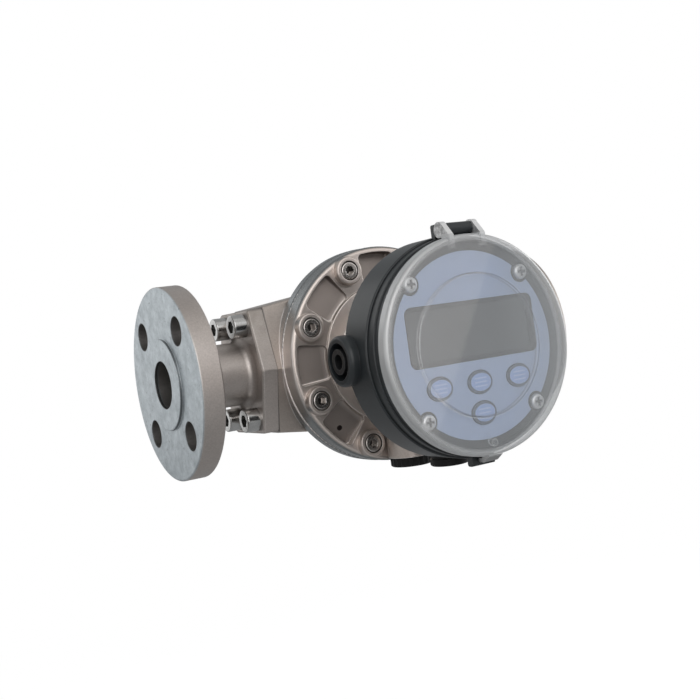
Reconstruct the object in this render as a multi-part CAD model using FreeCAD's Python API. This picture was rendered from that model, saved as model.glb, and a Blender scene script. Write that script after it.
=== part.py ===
import FreeCAD, Part
import math
import os

# An oval gear flow meter for a one inch pipe line, with a round display head.
# It is drawn about its own middle, where the pipe axis meets the axis of the display,
# and moved at the end so that the middle of the inlet's raised face is the origin.
# +X is the way of the flow, +Z is up, and the display faces -Y. Sizes are millimetres.

V = FreeCAD.Vector

# Pipe line: a one inch flange of the common 150 pound class at each end
FACE_TO_FACE = 245.0
FLANGE_R = 54.0
FLANGE_T = 14.3
FLANGE_ROUND = 1.0
RAISED_R = 25.4
RAISED_H = 1.6
RAISED_ROUND = 0.3
BOLT_COUNT = 4
BOLT_CIRCLE_R = 39.7
BOLT_HOLE_R = 7.95
BORE_R = 13.3
NECK_R = 18.0
NECK_FILLET_AT_FLANGE = 5.0
NECK_FILLET_AT_PLATE = 4.0
NECK_ROOT_R = 22.4

# Hexagonal plate that carries each flange on the body
PLATE_INNER_X = 66.0
PLATE_T = 9.5
HEX_HALF_WIDTH = 30.0
HEX_END_HALF_WIDTH = 20.0
HEX_HALF_HEIGHT = 34.8
HEX_ROUND = 2.0
PLATE_CHAMFER = 0.9
SEAM_CHAMFER = 0.2
PLATE_SCREW_R = 4.0
PLATE_SCREW_HOLE_R = 4.5
PLATE_SCREW_Y = 13.0
PLATE_SCREW_Z = 26.5
PLATE_SCREW_LENGTH = 20.0
PLATE_TAP_DEPTH = 12.0
PLATE_SEAL_R = 18.0

# Socket head screws, as shares of the shank's radius
SOCKET_HEAD_R_SHARE = 1.64
SOCKET_HEAD_H_SHARE = 2.0
SOCKET_R_SHARE = 0.96
SOCKET_DEPTH_SHARE = 1.0
SOCKET_HEAD_ROUND = 0.6

# Boss of the body behind each plate: at the seam, and where it runs into the chamber wall
BOSS_SEAM_HALF_HEIGHT = 35.8
BOSS_FRONT_Y = -27.6
BOSS_ROOT_X = 20.0
BOSS_ROOT_HALF_HEIGHT = 42.0
BOSS_ROOT_FRONT_Y = -26.0
BOSS_ROOT_END_FRONT_Y = -17.0
BOSS_ROOT_END_BACK_Y = 12.0
BOSS_ROOT_BACK_Y = 16.0

# Meter body and cap: both are turned about the display's axis
JOINT_Y = -28.0
JOINT_ROUND = 0.8
RING_R = 62.0
RING_BACK_Y = -20.0
RING_BACK_ROUND = 1.5
CHAMBER_WALL_R = 47.0
CHAMBER_WALL_FILLET = 3.0
BODY_BACK_Y = 20.0
BODY_BACK_ROUND = 5.0
CAP_R = 61.6
CAP_RIM_Y = -39.5
CAP_RIM_ROUND = 2.5
PAD_R = 40.0
PAD_Y = -40.5
PAD_ROUND = 0.7
CAP_SCREW_COUNT = 8
CAP_SCREW_R = 3.0
CAP_SCREW_HOLE_R = 3.3
CAP_SCREW_CIRCLE_R = 53.0
CAP_SCREW_LENGTH = 16.0
CAP_TAP_END_Y = -21.0
CAP_BOSS_R = 8.0
CAP_BOSS_Y = -44.0
CAP_BOSS_ROOT_Y = -36.0
CAP_BOSS_ROUND = 1.0
CAP_COUNTERBORE_R = 5.6
CAP_SCREW_SEAT_Y = -38.0
POCKET_OUTER_R = 58.5
POCKET_OUTER_HALF = 11.6
POCKET_INNER_HALF = 9.4
POCKET_FLOOR_Y = -33.0
POCKET_INNER_FLOOR_Y = -38.3
POCKET_CORNER_ROUND = 2.5
POCKET_FLOOR_ROUND = 1.2
POCKET_UNDER_CONDUIT = 6
VENT_R = 1.5
VENT_DEPTH = 3.0
VENT_X = -35.4
VENT_Z = -37.7
CAP_SEAL_R = 45.5
SEAL_SECTION_R = 1.4
SEAL_GROOVE_HALF = 1.8

# Hub on the cap, with the conduit boss that points down
HUB_R = 29.0
HUB_FILLET = 3.0
HUB_ROUND = 1.0
HUB_FRONT_Y = -62.0
HUB_CAVITY_R = 24.0
HUB_LEDGE_R = 20.0
HUB_LEDGE_Y = -40.0
HUB_FLOOR_Y = -36.5
CONDUIT_R = 13.0
CONDUIT_Y = -49.0
CONDUIT_END_Z = -58.9
CONDUIT_BORE_R = 9.6
CONDUIT_END_GAP = 0.2
CONDUIT_PLUG_R = 11.7
CONDUIT_PLUG_H = 5.3
CONDUIT_PLUG_ROUND = 0.4
CONDUIT_PLUG_SHANK = 14.0
PLUG_RIB_COUNT = 24
PLUG_RIB_R = 0.8
PLUG_RIB_CIRCLE_R = 11.3
PLUG_RIB_GAP = 0.4

# Oval rotors in their chamber
ROTOR_CENTRE_Z = 18.0
OVAL_MEAN_R = 17.75
OVAL_SWELL = 4.2
TOOTH_COUNT = 30
TOOTH_DEPTH = 2.0
TOOTH_TIP_SHARE = 0.17
TOOTH_ROOT_SHARE = 0.33
CHAMBER_R = 22.4
CHAMBER_BACK_Y = 13.0
CHAMBER_PORT_X = 12.0
ROTOR_END_GAP = 0.4
BUSH_R = 7.5
BUSH_LENGTH = 12.0
SHAFT_R = 5.0
SHAFT_FIT = 0.05
SHAFT_SEAT_DEPTH = 5.0
SHAFT_CAP_DEPTH = 3.0
SHAFT_END_GAP = 0.2
SHAFT_CHAMFER = 0.5
MAGNET_R = 3.0
MAGNET_LENGTH = 4.0
MAGNET_OFFSET = 15.0
SENSOR_HALF_WIDTH = 2.0
SENSOR_HALF_HEIGHT = 2.5
SENSOR_ROUND = 0.4
SENSOR_T = 2.0

# Display housing: a drum in front of a bowl, with a cable port on the left and below
GASKET_T = 1.0
HOUSING_BACK_Y = HUB_FRONT_Y - GASKET_T
HOUSING_FLOOR_T = 4.0
HOUSING_FLOOR_Y = HOUSING_BACK_Y - HOUSING_FLOOR_T
HOUSING_BORE_R = 10.0
HOUSING_FOOT_R = 31.0
HOUSING_FOOT_ROUND = 2.0
HOUSING_FLOOR_R = 30.0
HOUSING_SCREW_COUNT = 4
HOUSING_SCREW_R = 1.25
HOUSING_SCREW_HOLE_R = 1.7
HOUSING_SCREW_CIRCLE_R = 26.5
HOUSING_SCREW_GRIP = 8.0
HOUSING_TAP_DEPTH = 9.0
HOUSING_HEAD_R = 2.8
HOUSING_HEAD_H = 2.0
HOUSING_HEAD_ROUND = 0.8
DRUM_R = 57.4
DRUM_BACK_Y = -92.5
DRUM_FRONT_Y = -114.0
DRUM_BACK_ROUND = 0.6
DRUM_FRONT_ROUND = 0.8
DRUM_CAVITY_R = 53.5
DRUM_CAVITY_ROUND = 2.0
DRUM_FLOOR_Y = -98.5
DRUM_FLOOR_ROUND = 1.0
BOWL_R = 46.5
BOWL_SHOULDER_R = 44.0
BOWL_SHOULDER_Y = -71.5
BOWL_SHOULDER_ROUND = 6.0
BOWL_NECK_ROUND = 2.0
BOWL_CAVITY_R = 42.5
BOWL_CAVITY_END_R = 40.5
BOWL_CAVITY_END_Y = -75.0
BOWL_CLEAR_R = 40.3
BOWL_CLEAR_Y = -76.0
PORT_Y = -94.0
PORT_Z = 1.0
PORT_BOSS_R = 13.1
PORT_END = 62.4
PORT_END_ROUND = 2.2
PORT_BORE_R = 9.6
PORT_SHOULDER = 44.0
PORT_INNER_R = 7.5
PORT_INNER_END = 30.0
LOWER_PORT_Y = -87.3
LOWER_PORT_END = 58.4
GLAND_COLLAR_T = 6.0
GLAND_TUBE_R = 6.5
GLAND_BORE_R = 4.0
LOWER_PLUG_R = 10.5
LOWER_PLUG_H = 3.9
LOWER_PLUG_ROUND = 1.2
LOWER_PLUG_SHANK = 11.4
LOWER_PLUG_SLOT_HALF = 7.0
LOWER_PLUG_SLOT_HALF_WIDTH = 1.0
LOWER_PLUG_SLOT_DEPTH = 2.0

# Front bezel and what it carries
BEZEL_R = 55.5
BAND_R = 56.3
BAND_FRONT_Y = -119.6
BAND_ROUND = 0.4
BEZEL_SEAT_Y = -123.0
BEZEL_SEAT_ROUND = 0.5
BEZEL_PLATEAU_R = 52.3
BEZEL_PLATEAU_ROUND = 0.4
BEZEL_FACE_Y = -124.0
BEZEL_WALL_Y = -121.0
BEZEL_SPIGOT_R = 53.2
BEZEL_SPIGOT_Y = -109.0
BEZEL_INNER_R = 50.2
BEZEL_LEDGE_R = 48.5
BEZEL_LEDGE_Y = -116.0
BEZEL_SEAL_Y = -111.5
BEZEL_SEAL_SECTION_R = 1.0
BEZEL_SEAL_SINK = 0.8
BEZEL_GROOVE_DEPTH = 1.8
BEZEL_GROOVE_HALF = 1.2
LABEL_R = 47.9
LABEL_T = 0.4
WINDOW_HALF_WIDTH = 39.25
WINDOW_HALF_HEIGHT = 15.1
WINDOW_Z = 7.6
WINDOW_ROUND = 4.0
WINDOW_T = 2.0
WINDOW_GAP = 0.2
WINDOW_PROUD = 0.2
WINDOW_LEDGE = 2.2
WINDOW_LEDGE_ROUND = 2.0
LCD_MARGIN = 1.0
LCD_ROUND = 1.0
FACIA_SCREW_OFFSET = 34.0
FACIA_HEAD_R = 4.0
FACIA_HEAD_H = 2.4
FACIA_HEAD_ROUND = 1.6
FACIA_HEAD_MARGIN = 1.5
FACIA_SCREW_R = 2.0
FACIA_SCREW_LENGTH = 22.0
FACIA_TAP_END_Y = -100.5
CROSS_HALF = 2.2
CROSS_HALF_WIDTH = 0.45
CROSS_DEPTH = 1.5
CROSS_ROUND = 0.2
POST_R = 5.0
POST_WALL = 0.8
POST_GAP = 0.4
BOARD_T = 1.6
BOARD_GAP = 0.3

# What stands on the main board
SWITCH_HALF = 3.0
SWITCH_H = 2.2
SWITCH_ROUND = 0.4
PLUNGER_R = 1.7
PLUNGER_H = 0.7
TERMINAL_COUNT = 8
TERMINAL_PITCH = 5.6
TERMINAL_HALF_WIDTH = 24.0
TERMINAL_HALF_HEIGHT = 5.0
TERMINAL_DEPTH = 11.0
TERMINAL_ROUND = 0.6
TERMINAL_Z = -18.0
TERMINAL_SCREW_R = 1.9
TERMINAL_SCREW_Z = -16.0
TERMINAL_SCREW_DEPTH = 4.0
TERMINAL_WIRE_R = 1.6
TERMINAL_WIRE_DEPTH = 6.0
TERMINAL_WIRE_STAND = 4.0
BATTERY_R = 7.2
BATTERY_HALF = 26.5
BATTERY_STAND = 8.2
BATTERY_Z = 20.0
BATTERY_END_R = 2.6
BATTERY_END_H = 1.8
BATTERY_END_GAP = 0.2
HOLDER_HALF_WIDTH = 28.5
HOLDER_HALF_HEIGHT = 9.0
HOLDER_DEPTH = 9.0
HOLDER_ROUND = 1.0
HOLDER_GAP = 0.2

# Keys: oval caps that travel through the bezel
KEYS = {
    "left_key": (-24.5, -18.8),
    "centre_key": (0.0, -18.8),
    "right_key": (24.5, -18.8),
    "lower_key": (0.0, -34.4),
}
KEY_HALF_WIDTH = 7.5
KEY_HALF_HEIGHT = 5.8
KEY_GAP = 0.4
KEY_RIM_Y = -124.9
KEY_TOP_Y = -125.4
KEY_TOP_INSET = 1.3
KEY_COLLAR = 1.0
KEY_COLLAR_T = 0.8
KEY_BACK_GAP = 0.3

# Clear flip cover and its hinge
COVER_R = 56.0
COVER_WALL = 2.2
COVER_BACK_Y = -123.3
COVER_FRONT_Y = -130.0
COVER_ROUND = 2.0
COVER_LIP_ROUND = 0.3
COVER_INNER_ROUND = 1.0
COVER_DISC_R = 36.5
COVER_DISC_H = 0.5
COVER_DISC_ROUND = 0.2
COVER_POST_R = 1.7
COVER_POST_H = 1.2
COVER_POST_Z = -49.0
HINGE_Y = -122.0
HINGE_Z = 59.5
HINGE_PIN_R = 1.5
HINGE_PIN_FIT = 0.1
HINGE_PIN_SINK = 1.1
LUG_EYE_WALL = 0.8
LUG_R = 4.1
LUG_INNER_X = 8.0
LUG_OUTER_X = 11.0
LUG_EYE_BACK_Y = -121.4
LUG_EYE_TOP_Z = 63.5
LUG_EYE_LOW_Z = 55.7
LUG_SHOULDER_Y = -124.2
LUG_SHOULDER_Z = 63.0
LUG_SHOULDER_ROUND = 2.0
LUG_KNEE_ROUND = 1.5
LUG_RIM_Y = -123.8
LUG_RIM_Z = 54.0
LUG_ROOT_Y = -129.0
LUG_RIB_H = 0.5
LUG_RIB_END_Z = 49.0
LUG_RIB_END_SLOPE = 1.5
LUG_RIB_END_ROUND = 0.4
BARREL_R = 3.3
BARREL_HALF = 7.7
BARREL_ROOT_Z = 53.0
HINGE_BLOCK_HALF = 10.2
HINGE_BLOCK_HALF_HEIGHT = 5.5
HINGE_BLOCK_ROUND = 1.2
HINGE_BLOCK_FRONT_Y = -117.0
HINGE_BLOCK_TOP_Z = 63.0
HINGE_BLOCK_BED_R = 54.0
TAB_HALF = 4.2
TAB_BACK_Y = -120.0
TAB_FRONT_Y = -124.5
TAB_TOP_Z = -57.0
TAB_BOTTOM_Z = -59.2
TAB_ROOT_Y = -129.4
TAB_ROOT_Z = -54.3
TAB_TOP_ROUND = 0.8
TAB_BACK_ROUND = 1.2
TAB_FRONT_ROUND = 1.5
TAB_ROOT_ROUND = 0.5
RIDGE_HALF = 5.0
RIDGE_HALF_HEIGHT = 1.5
RIDGE_ROUND = 0.6
RIDGE_FRONT_Y = -120.8
RIDGE_BACK_Y = -119.2
RIDGE_Z = -54.8
CATCH_HALF = 7.0
CATCH_FRONT_Y = -118.5
CATCH_TOP_Z = -54.0
CATCH_BOTTOM_Z = -61.3
CATCH_ROUND = 1.2

# Clearance round a screw's shank, so that only its head bears, and of a pressed fit
SHANK_GAP = 0.1
PRESS_GAP = 0.01


def along(axis, distance, u, v):
    """A point at a distance along an axis and at u, v across it."""
    if axis == "x":
        return V(distance, u, v)
    if axis == "y":
        return V(u, distance, v)
    return V(u, v, distance)


def outline(corners, place):
    """A closed wire through corners of (u, v, radius), each rounded by its radius."""
    starts, middles, ends = [], [], []
    for i, (u, v, radius) in enumerate(corners):
        corner = V(u, v, 0)
        before = V(corners[i - 1][0], corners[i - 1][1], 0) - corner
        following = corners[(i + 1) % len(corners)]
        after = V(following[0], following[1], 0) - corner
        before.normalize()
        after.normalize()
        half = before.getAngle(after) / 2
        inward = before + after
        if radius > 0:
            inward.normalize()
        reach = radius / math.tan(half)
        centre = corner + inward * (radius / math.sin(half))
        starts.append(corner + before * reach)
        middles.append(centre - inward * radius)
        ends.append(corner + after * reach)
    edges = []
    for i, (u, v, radius) in enumerate(corners):
        if radius > 0:
            arc = Part.Arc(place(starts[i]), place(middles[i]), place(ends[i]))
            edges.append(arc.toShape())
        following = starts[(i + 1) % len(corners)]
        if (following - ends[i]).Length > 1e-6:
            edges.append(Part.LineSegment(place(ends[i]), place(following)).toShape())
    return Part.Wire(edges)


def turned(axis, corners):
    """A solid of revolution about x or y, from corners of (along, radius, rounding)."""
    if axis == "x":
        wire = outline(corners, lambda p: V(p.x, p.y, 0))
        return Part.Face(wire).revolve(V(0, 0, 0), V(1, 0, 0), 360)
    wire = outline(corners, lambda p: V(p.y, p.x, 0))
    return Part.Face(wire).revolve(V(0, 0, 0), V(0, 1, 0), 360)


def prism(axis, corners, start, end):
    """An outline across an axis, drawn out along it from start to end."""
    wire = outline(corners, lambda p: along(axis, start, p.x, p.y))
    return Part.Face(wire).extrude(along(axis, end - start, 0, 0))


def rod(axis, radius, start, end, u=0.0, v=0.0):
    """A round bar along an axis."""
    base = along(axis, min(start, end), u, v)
    return Part.makeCylinder(radius, abs(end - start), base, along(axis, 1, 0, 0))


def ring(axis, outer, inner, start, end, u=0.0, v=0.0):
    """A plain ring or tube along an axis."""
    return rod(axis, outer, start, end, u, v).cut(rod(axis, inner, start, end, u, v))


def rounded_box(axis, half_u, half_v, rounding, start, end, u=0.0, v=0.0):
    """A block along an axis with its four long edges rounded."""
    corners = [
        (u - half_u, v - half_v, rounding),
        (u + half_u, v - half_v, rounding),
        (u + half_u, v + half_v, rounding),
        (u - half_u, v + half_v, rounding),
    ]
    return prism(axis, corners, start, end)


def oval(half_width, half_height, front, back, x, z):
    """An upright elliptical bar along y."""
    curve = Part.Ellipse(V(0, 0, 0), half_width, half_height)
    solid = Part.Face(Part.Wire(curve.toShape())).extrude(V(0, 0, back - front))
    solid.rotate(V(0, 0, 0), V(1, 0, 0), -90)
    solid.translate(V(x, front, z))
    return solid


def joined(first, *others):
    """One solid made of several that meet."""
    return first.fuse(list(others)).removeSplitter()


def edges_in_plane(shape, axis, distance):
    """The edges of a shape that lie in one plane across an axis."""
    found = []
    for edge in shape.Edges:
        box = edge.BoundBox
        low, high = {
            "x": (box.XMin, box.XMax),
            "y": (box.YMin, box.YMax),
            "z": (box.ZMin, box.ZMax),
        }[axis]
        if abs(low - distance) < 1e-4 and abs(high - distance) < 1e-4:
            found.append(edge)
    return found


def spread(shape, angles):
    """Copies of a shape turned about the display's axis, counted from +X towards +Z."""
    copies = []
    for angle in angles:
        copy = shape.copy()
        copy.rotate(V(0, 0, 0), V(0, 1, 0), -angle)
        copies.append(copy)
    return copies


def socket_screw(shank_r, length):
    """A socket head cap screw at the origin, with its head on the -Y side."""
    head_r = shank_r * SOCKET_HEAD_R_SHARE
    head_h = shank_r * SOCKET_HEAD_H_SHARE
    socket_r = shank_r * SOCKET_R_SHARE
    head = turned("y", [(-head_h, 0, 0), (-head_h, head_r, SOCKET_HEAD_ROUND), (0, head_r, 0), (0, 0, 0)])
    shank = rod("y", shank_r, 0, length)
    hexagon = [
        (socket_r * math.cos(math.radians(60 * i)), socket_r * math.sin(math.radians(60 * i)), 0)
        for i in range(6)
    ]
    socket = prism("y", hexagon, -head_h, -head_h + shank_r * SOCKET_DEPTH_SHARE)
    return joined(head, shank).cut(socket)


def plate_screw_places():
    """Where the four screws of a flange plate stand, across the pipe."""
    return [(y, z) for y in (-PLATE_SCREW_Y, PLATE_SCREW_Y)
            for z in (-PLATE_SCREW_Z, PLATE_SCREW_Z)]


def cap_screw_angles():
    """Angles of the screws round the cap."""
    step = 360.0 / CAP_SCREW_COUNT
    return [step * (i + 0.5) for i in range(CAP_SCREW_COUNT)]


def facia_screw_places():
    """Where the four screws of the display's face stand."""
    return [(x, z) for x in (-FACIA_SCREW_OFFSET, FACIA_SCREW_OFFSET)
            for z in (-FACIA_SCREW_OFFSET, FACIA_SCREW_OFFSET)]


def hex_corners(half_width, end_half_width, half_height, rounding):
    """The tall hexagon of the flange plates, across the pipe."""
    return [
        (-half_width, 0, rounding),
        (-end_half_width, -half_height, rounding),
        (end_half_width, -half_height, rounding),
        (half_width, 0, rounding),
        (end_half_width, half_height, rounding),
        (-end_half_width, half_height, rounding),
    ]


def inlet_flange():
    """Flange, neck and hexagonal plate in one piece, on the -X side."""
    face = -FACE_TO_FACE / 2
    rim_front = face + RAISED_H
    rim_back = face + FLANGE_T
    plate_back = -PLATE_INNER_X
    plate_front = plate_back - PLATE_T
    spool = turned("x", [
        (face, BORE_R, 0),
        (face, RAISED_R, RAISED_ROUND),
        (rim_front, RAISED_R, RAISED_ROUND),
        (rim_front, FLANGE_R, FLANGE_ROUND),
        (rim_back, FLANGE_R, FLANGE_ROUND),
        (rim_back, NECK_R, NECK_FILLET_AT_FLANGE),
        (plate_front, NECK_R, NECK_FILLET_AT_PLATE),
        (plate_front, NECK_ROOT_R, 0),
        (plate_back, NECK_ROOT_R, 0),
        (plate_back, BORE_R, 0),
    ])
    hexagon = hex_corners(HEX_HALF_WIDTH, HEX_END_HALF_WIDTH, HEX_HALF_HEIGHT, HEX_ROUND)
    plate = prism("x", hexagon, plate_front, plate_back)
    plate = plate.makeChamfer(PLATE_CHAMFER, edges_in_plane(plate, "x", plate_front))
    plate = plate.makeChamfer(SEAM_CHAMFER, edges_in_plane(plate, "x", plate_back))
    plate = plate.cut(rod("x", BORE_R, plate_front, plate_back))
    cuts = [ring("x", PLATE_SEAL_R + SEAL_GROOVE_HALF, PLATE_SEAL_R - SEAL_GROOVE_HALF,
                 plate_back - 2 * SEAL_SECTION_R, plate_back)]
    for y, z in plate_screw_places():
        cuts.append(rod("x", PLATE_SCREW_HOLE_R, plate_front, plate_back, y, z))
    for i in range(BOLT_COUNT):
        angle = 2 * math.pi * (i + 0.5) / BOLT_COUNT
        across = BOLT_CIRCLE_R * math.cos(angle), BOLT_CIRCLE_R * math.sin(angle)
        cuts.append(rod("x", BOLT_HOLE_R, face, rim_back, *across))
    return joined(spool, plate).cut(cuts)


def inlet_screws():
    """Four socket screws through the inlet's plate into the body."""
    screws = []
    for y, z in plate_screw_places():
        screw = socket_screw(PLATE_SCREW_R, PLATE_SCREW_LENGTH)
        screw.rotate(V(0, 0, 0), V(0, 0, 1), -90)
        screw.translate(V(-PLATE_INNER_X - PLATE_T, y, z))
        screws.append(screw)
    return Part.makeCompound(screws)


def port_seal():
    """The seal ring between the inlet's plate and the body."""
    centre = V(-PLATE_INNER_X - SEAL_SECTION_R, 0, 0)
    return Part.makeTorus(PLATE_SEAL_R, SEAL_SECTION_R, centre, V(1, 0, 0))


def outlet(shape):
    """The same piece on the other end of the meter."""
    copy = shape.copy()
    copy.rotate(V(0, 0, 0), V(0, 0, 1), 180)
    return copy


def body_boss():
    """The hexagonal boss of the body behind the inlet's plate, which swells into the chamber wall."""
    outer_x = -PLATE_INNER_X
    seam = hex_corners(HEX_HALF_WIDTH, HEX_END_HALF_WIDTH, BOSS_SEAM_HALF_HEIGHT, HEX_ROUND)
    seam[0] = (BOSS_FRONT_Y, 0, HEX_ROUND)
    root = [
        (BOSS_ROOT_FRONT_Y, 0, HEX_ROUND),
        (BOSS_ROOT_END_FRONT_Y, -BOSS_ROOT_HALF_HEIGHT, HEX_ROUND),
        (BOSS_ROOT_END_BACK_Y, -BOSS_ROOT_HALF_HEIGHT, HEX_ROUND),
        (BOSS_ROOT_BACK_Y, 0, HEX_ROUND),
        (BOSS_ROOT_END_BACK_Y, BOSS_ROOT_HALF_HEIGHT, HEX_ROUND),
        (BOSS_ROOT_END_FRONT_Y, BOSS_ROOT_HALF_HEIGHT, HEX_ROUND),
    ]
    seam_wire = outline(seam, lambda p: V(outer_x, p.x, p.y))
    root_wire = outline(root, lambda p: V(-BOSS_ROOT_X, p.x, p.y))
    return Part.makeLoft([seam_wire, root_wire], True, True)


def outlet_boss(boss):
    """The boss on the outlet side: a mirror image, because its front is cut back for the cap."""
    return boss.mirror(V(0, 0, 0), V(1, 0, 0))


def meter_body():
    """The cast body: ring, chamber wall and a boss on each side, with the chamber and the ports."""
    casting = turned("y", [
        (JOINT_Y, 0, 0),
        (JOINT_Y, RING_R, JOINT_ROUND),
        (RING_BACK_Y, RING_R, RING_BACK_ROUND),
        (RING_BACK_Y, CHAMBER_WALL_R, CHAMBER_WALL_FILLET),
        (BODY_BACK_Y, CHAMBER_WALL_R, BODY_BACK_ROUND),
        (BODY_BACK_Y, 0, 0),
    ])
    boss = body_boss()
    casting = joined(casting, boss, outlet_boss(boss))
    cuts = []
    for side in (-1, 1):
        centre_z = side * ROTOR_CENTRE_Z
        seat_y = CHAMBER_BACK_Y + SHAFT_SEAT_DEPTH
        cuts.append(rod("y", CHAMBER_R, JOINT_Y, CHAMBER_BACK_Y, 0, centre_z))
        cuts.append(rod("y", SHAFT_R + PRESS_GAP, CHAMBER_BACK_Y, seat_y, 0, centre_z))
        cuts.append(rod("x", BORE_R, side * PLATE_INNER_X, side * CHAMBER_PORT_X))
        tap_end_x = side * (PLATE_INNER_X - PLATE_TAP_DEPTH)
        for y, z in plate_screw_places():
            cuts.append(rod("x", PLATE_SCREW_R + SHANK_GAP, side * PLATE_INNER_X, tap_end_x, y, z))
    cuts.append(ring("y", CAP_SEAL_R + SEAL_GROOVE_HALF, CAP_SEAL_R - SEAL_GROOVE_HALF,
                     JOINT_Y, JOINT_Y + 2 * SEAL_SECTION_R))
    tapped = rod("y", CAP_SCREW_R + SHANK_GAP, JOINT_Y, CAP_TAP_END_Y, CAP_SCREW_CIRCLE_R, 0)
    cuts.extend(spread(tapped, cap_screw_angles()))
    return casting.cut(cuts)


def cap_pocket():
    """The hollow between two cap screws, on the +X side, whose floor falls away from the pad."""
    outer_x = math.sqrt(POCKET_OUTER_R ** 2 - POCKET_OUTER_HALF ** 2)
    inner_x = math.sqrt(PAD_R ** 2 - POCKET_INNER_HALF ** 2)
    mouth_y = CAP_BOSS_Y

    def corner(x, z):
        return V(x, mouth_y, z)

    inner_low = corner(inner_x, -POCKET_INNER_HALF)
    outer_low = corner(outer_x, -POCKET_OUTER_HALF)
    outer_high = corner(outer_x, POCKET_OUTER_HALF)
    inner_high = corner(inner_x, POCKET_INNER_HALF)
    wire = Part.Wire([
        Part.LineSegment(inner_low, outer_low).toShape(),
        Part.Arc(outer_low, corner(POCKET_OUTER_R, 0), outer_high).toShape(),
        Part.LineSegment(outer_high, inner_high).toShape(),
        Part.Arc(inner_high, corner(PAD_R, 0), inner_low).toShape(),
    ])
    pocket = Part.Face(wire).extrude(V(0, JOINT_Y - mouth_y, 0))
    uprights = [edge for edge in pocket.Edges if edge.BoundBox.YLength > 1]
    pocket = pocket.makeFillet(POCKET_CORNER_ROUND, uprights)
    fall = (POCKET_FLOOR_Y - POCKET_INNER_FLOOR_Y) / (POCKET_OUTER_R - inner_x)
    start_x = inner_x - POCKET_CORNER_ROUND
    end_x = POCKET_OUTER_R + POCKET_CORNER_ROUND
    above_floor = prism("z", [
        (start_x, mouth_y, 0),
        (end_x, mouth_y, 0),
        (end_x, POCKET_FLOOR_Y + fall * POCKET_CORNER_ROUND, 0),
        (start_x, POCKET_INNER_FLOOR_Y - fall * POCKET_CORNER_ROUND, 0),
    ], -POCKET_OUTER_R, POCKET_OUTER_R)
    pocket = pocket.common(above_floor).Solids[0]
    floor = max(pocket.Faces, key=lambda face: face.CenterOfMass.y)
    return pocket.makeFillet(POCKET_FLOOR_ROUND, floor.Edges)


def meter_cap():
    """The cast cap: screw bosses, pockets, pad, hub and conduit boss."""
    disc = turned("y", [
        (JOINT_Y, 0, 0),
        (JOINT_Y, CAP_R, JOINT_ROUND),
        (CAP_RIM_Y, CAP_R, CAP_RIM_ROUND),
        (CAP_RIM_Y, 0, 0),
    ])
    pad = turned("y", [
        (POCKET_FLOOR_Y, 0, 0),
        (POCKET_FLOOR_Y, PAD_R, 0),
        (PAD_Y, PAD_R, PAD_ROUND),
        (PAD_Y, HUB_R, HUB_FILLET),
        (HUB_FRONT_Y, HUB_R, HUB_ROUND),
        (HUB_FRONT_Y, 0, 0),
    ])
    angles = cap_screw_angles()
    step = 360.0 / CAP_SCREW_COUNT
    pockets = [step * i for i in range(CAP_SCREW_COUNT) if i != POCKET_UNDER_CONDUIT]
    disc = disc.cut(spread(cap_pocket(), pockets))
    screw_boss = rod("y", CAP_BOSS_R, CAP_BOSS_Y, CAP_BOSS_ROOT_Y, CAP_SCREW_CIRCLE_R, 0)
    screw_boss = screw_boss.makeFillet(CAP_BOSS_ROUND, edges_in_plane(screw_boss, "y", CAP_BOSS_Y))
    conduit = rod("z", CONDUIT_R, CONDUIT_END_Z, 0, 0, CONDUIT_Y)
    casting = joined(disc, pad, conduit, *spread(screw_boss, angles))
    cuts = [
        rod("y", HUB_CAVITY_R, HUB_FRONT_Y, HUB_LEDGE_Y),
        rod("y", HUB_LEDGE_R, HUB_LEDGE_Y, HUB_FLOOR_Y),
        rod("z", CONDUIT_BORE_R, CONDUIT_END_Z, -HUB_LEDGE_R, 0, CONDUIT_Y),
        rod("z", CONDUIT_R + CONDUIT_END_GAP, CONDUIT_END_Z, -RING_R, 0, CONDUIT_Y),
        rod("y", VENT_R, POCKET_FLOOR_Y, POCKET_FLOOR_Y + VENT_DEPTH, VENT_X, VENT_Z),
    ]
    counterbore = rod("y", CAP_COUNTERBORE_R, CAP_BOSS_Y, CAP_SCREW_SEAT_Y, CAP_SCREW_CIRCLE_R, 0)
    clearance = rod("y", CAP_SCREW_HOLE_R, CAP_SCREW_SEAT_Y, JOINT_Y, CAP_SCREW_CIRCLE_R, 0)
    tapped = rod("y", HOUSING_SCREW_R + SHANK_GAP, HUB_FRONT_Y, HUB_FRONT_Y + HOUSING_TAP_DEPTH,
                 HOUSING_SCREW_CIRCLE_R, 0)
    cuts.extend(spread(counterbore, angles))
    cuts.extend(spread(clearance, angles))
    cuts.extend(spread(tapped, housing_screw_angles()))
    steady_y = JOINT_Y - SHAFT_CAP_DEPTH
    for side in (-1, 1):
        cuts.append(rod("y", SHAFT_R + SHAFT_FIT, steady_y, JOINT_Y, 0, side * ROTOR_CENTRE_Z))
    return casting.cut(cuts)


def cap_screws():
    """Eight socket screws in the bosses of the cap."""
    screw = socket_screw(CAP_SCREW_R, CAP_SCREW_LENGTH)
    screw.translate(V(CAP_SCREW_CIRCLE_R, CAP_SCREW_SEAT_Y, 0))
    return Part.makeCompound(spread(screw, cap_screw_angles()))


def cap_seal():
    """The seal ring between body and cap."""
    centre = V(0, JOINT_Y + SEAL_SECTION_R, 0)
    return Part.makeTorus(CAP_SEAL_R, SEAL_SECTION_R, centre, V(0, 1, 0))


def oval_radius(angle):
    """Tip radius of a rotor. Two such ovals, a quarter turn apart, pass each other at equal speeds."""
    return OVAL_MEAN_R + OVAL_SWELL * math.cos(2 * angle)


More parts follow.
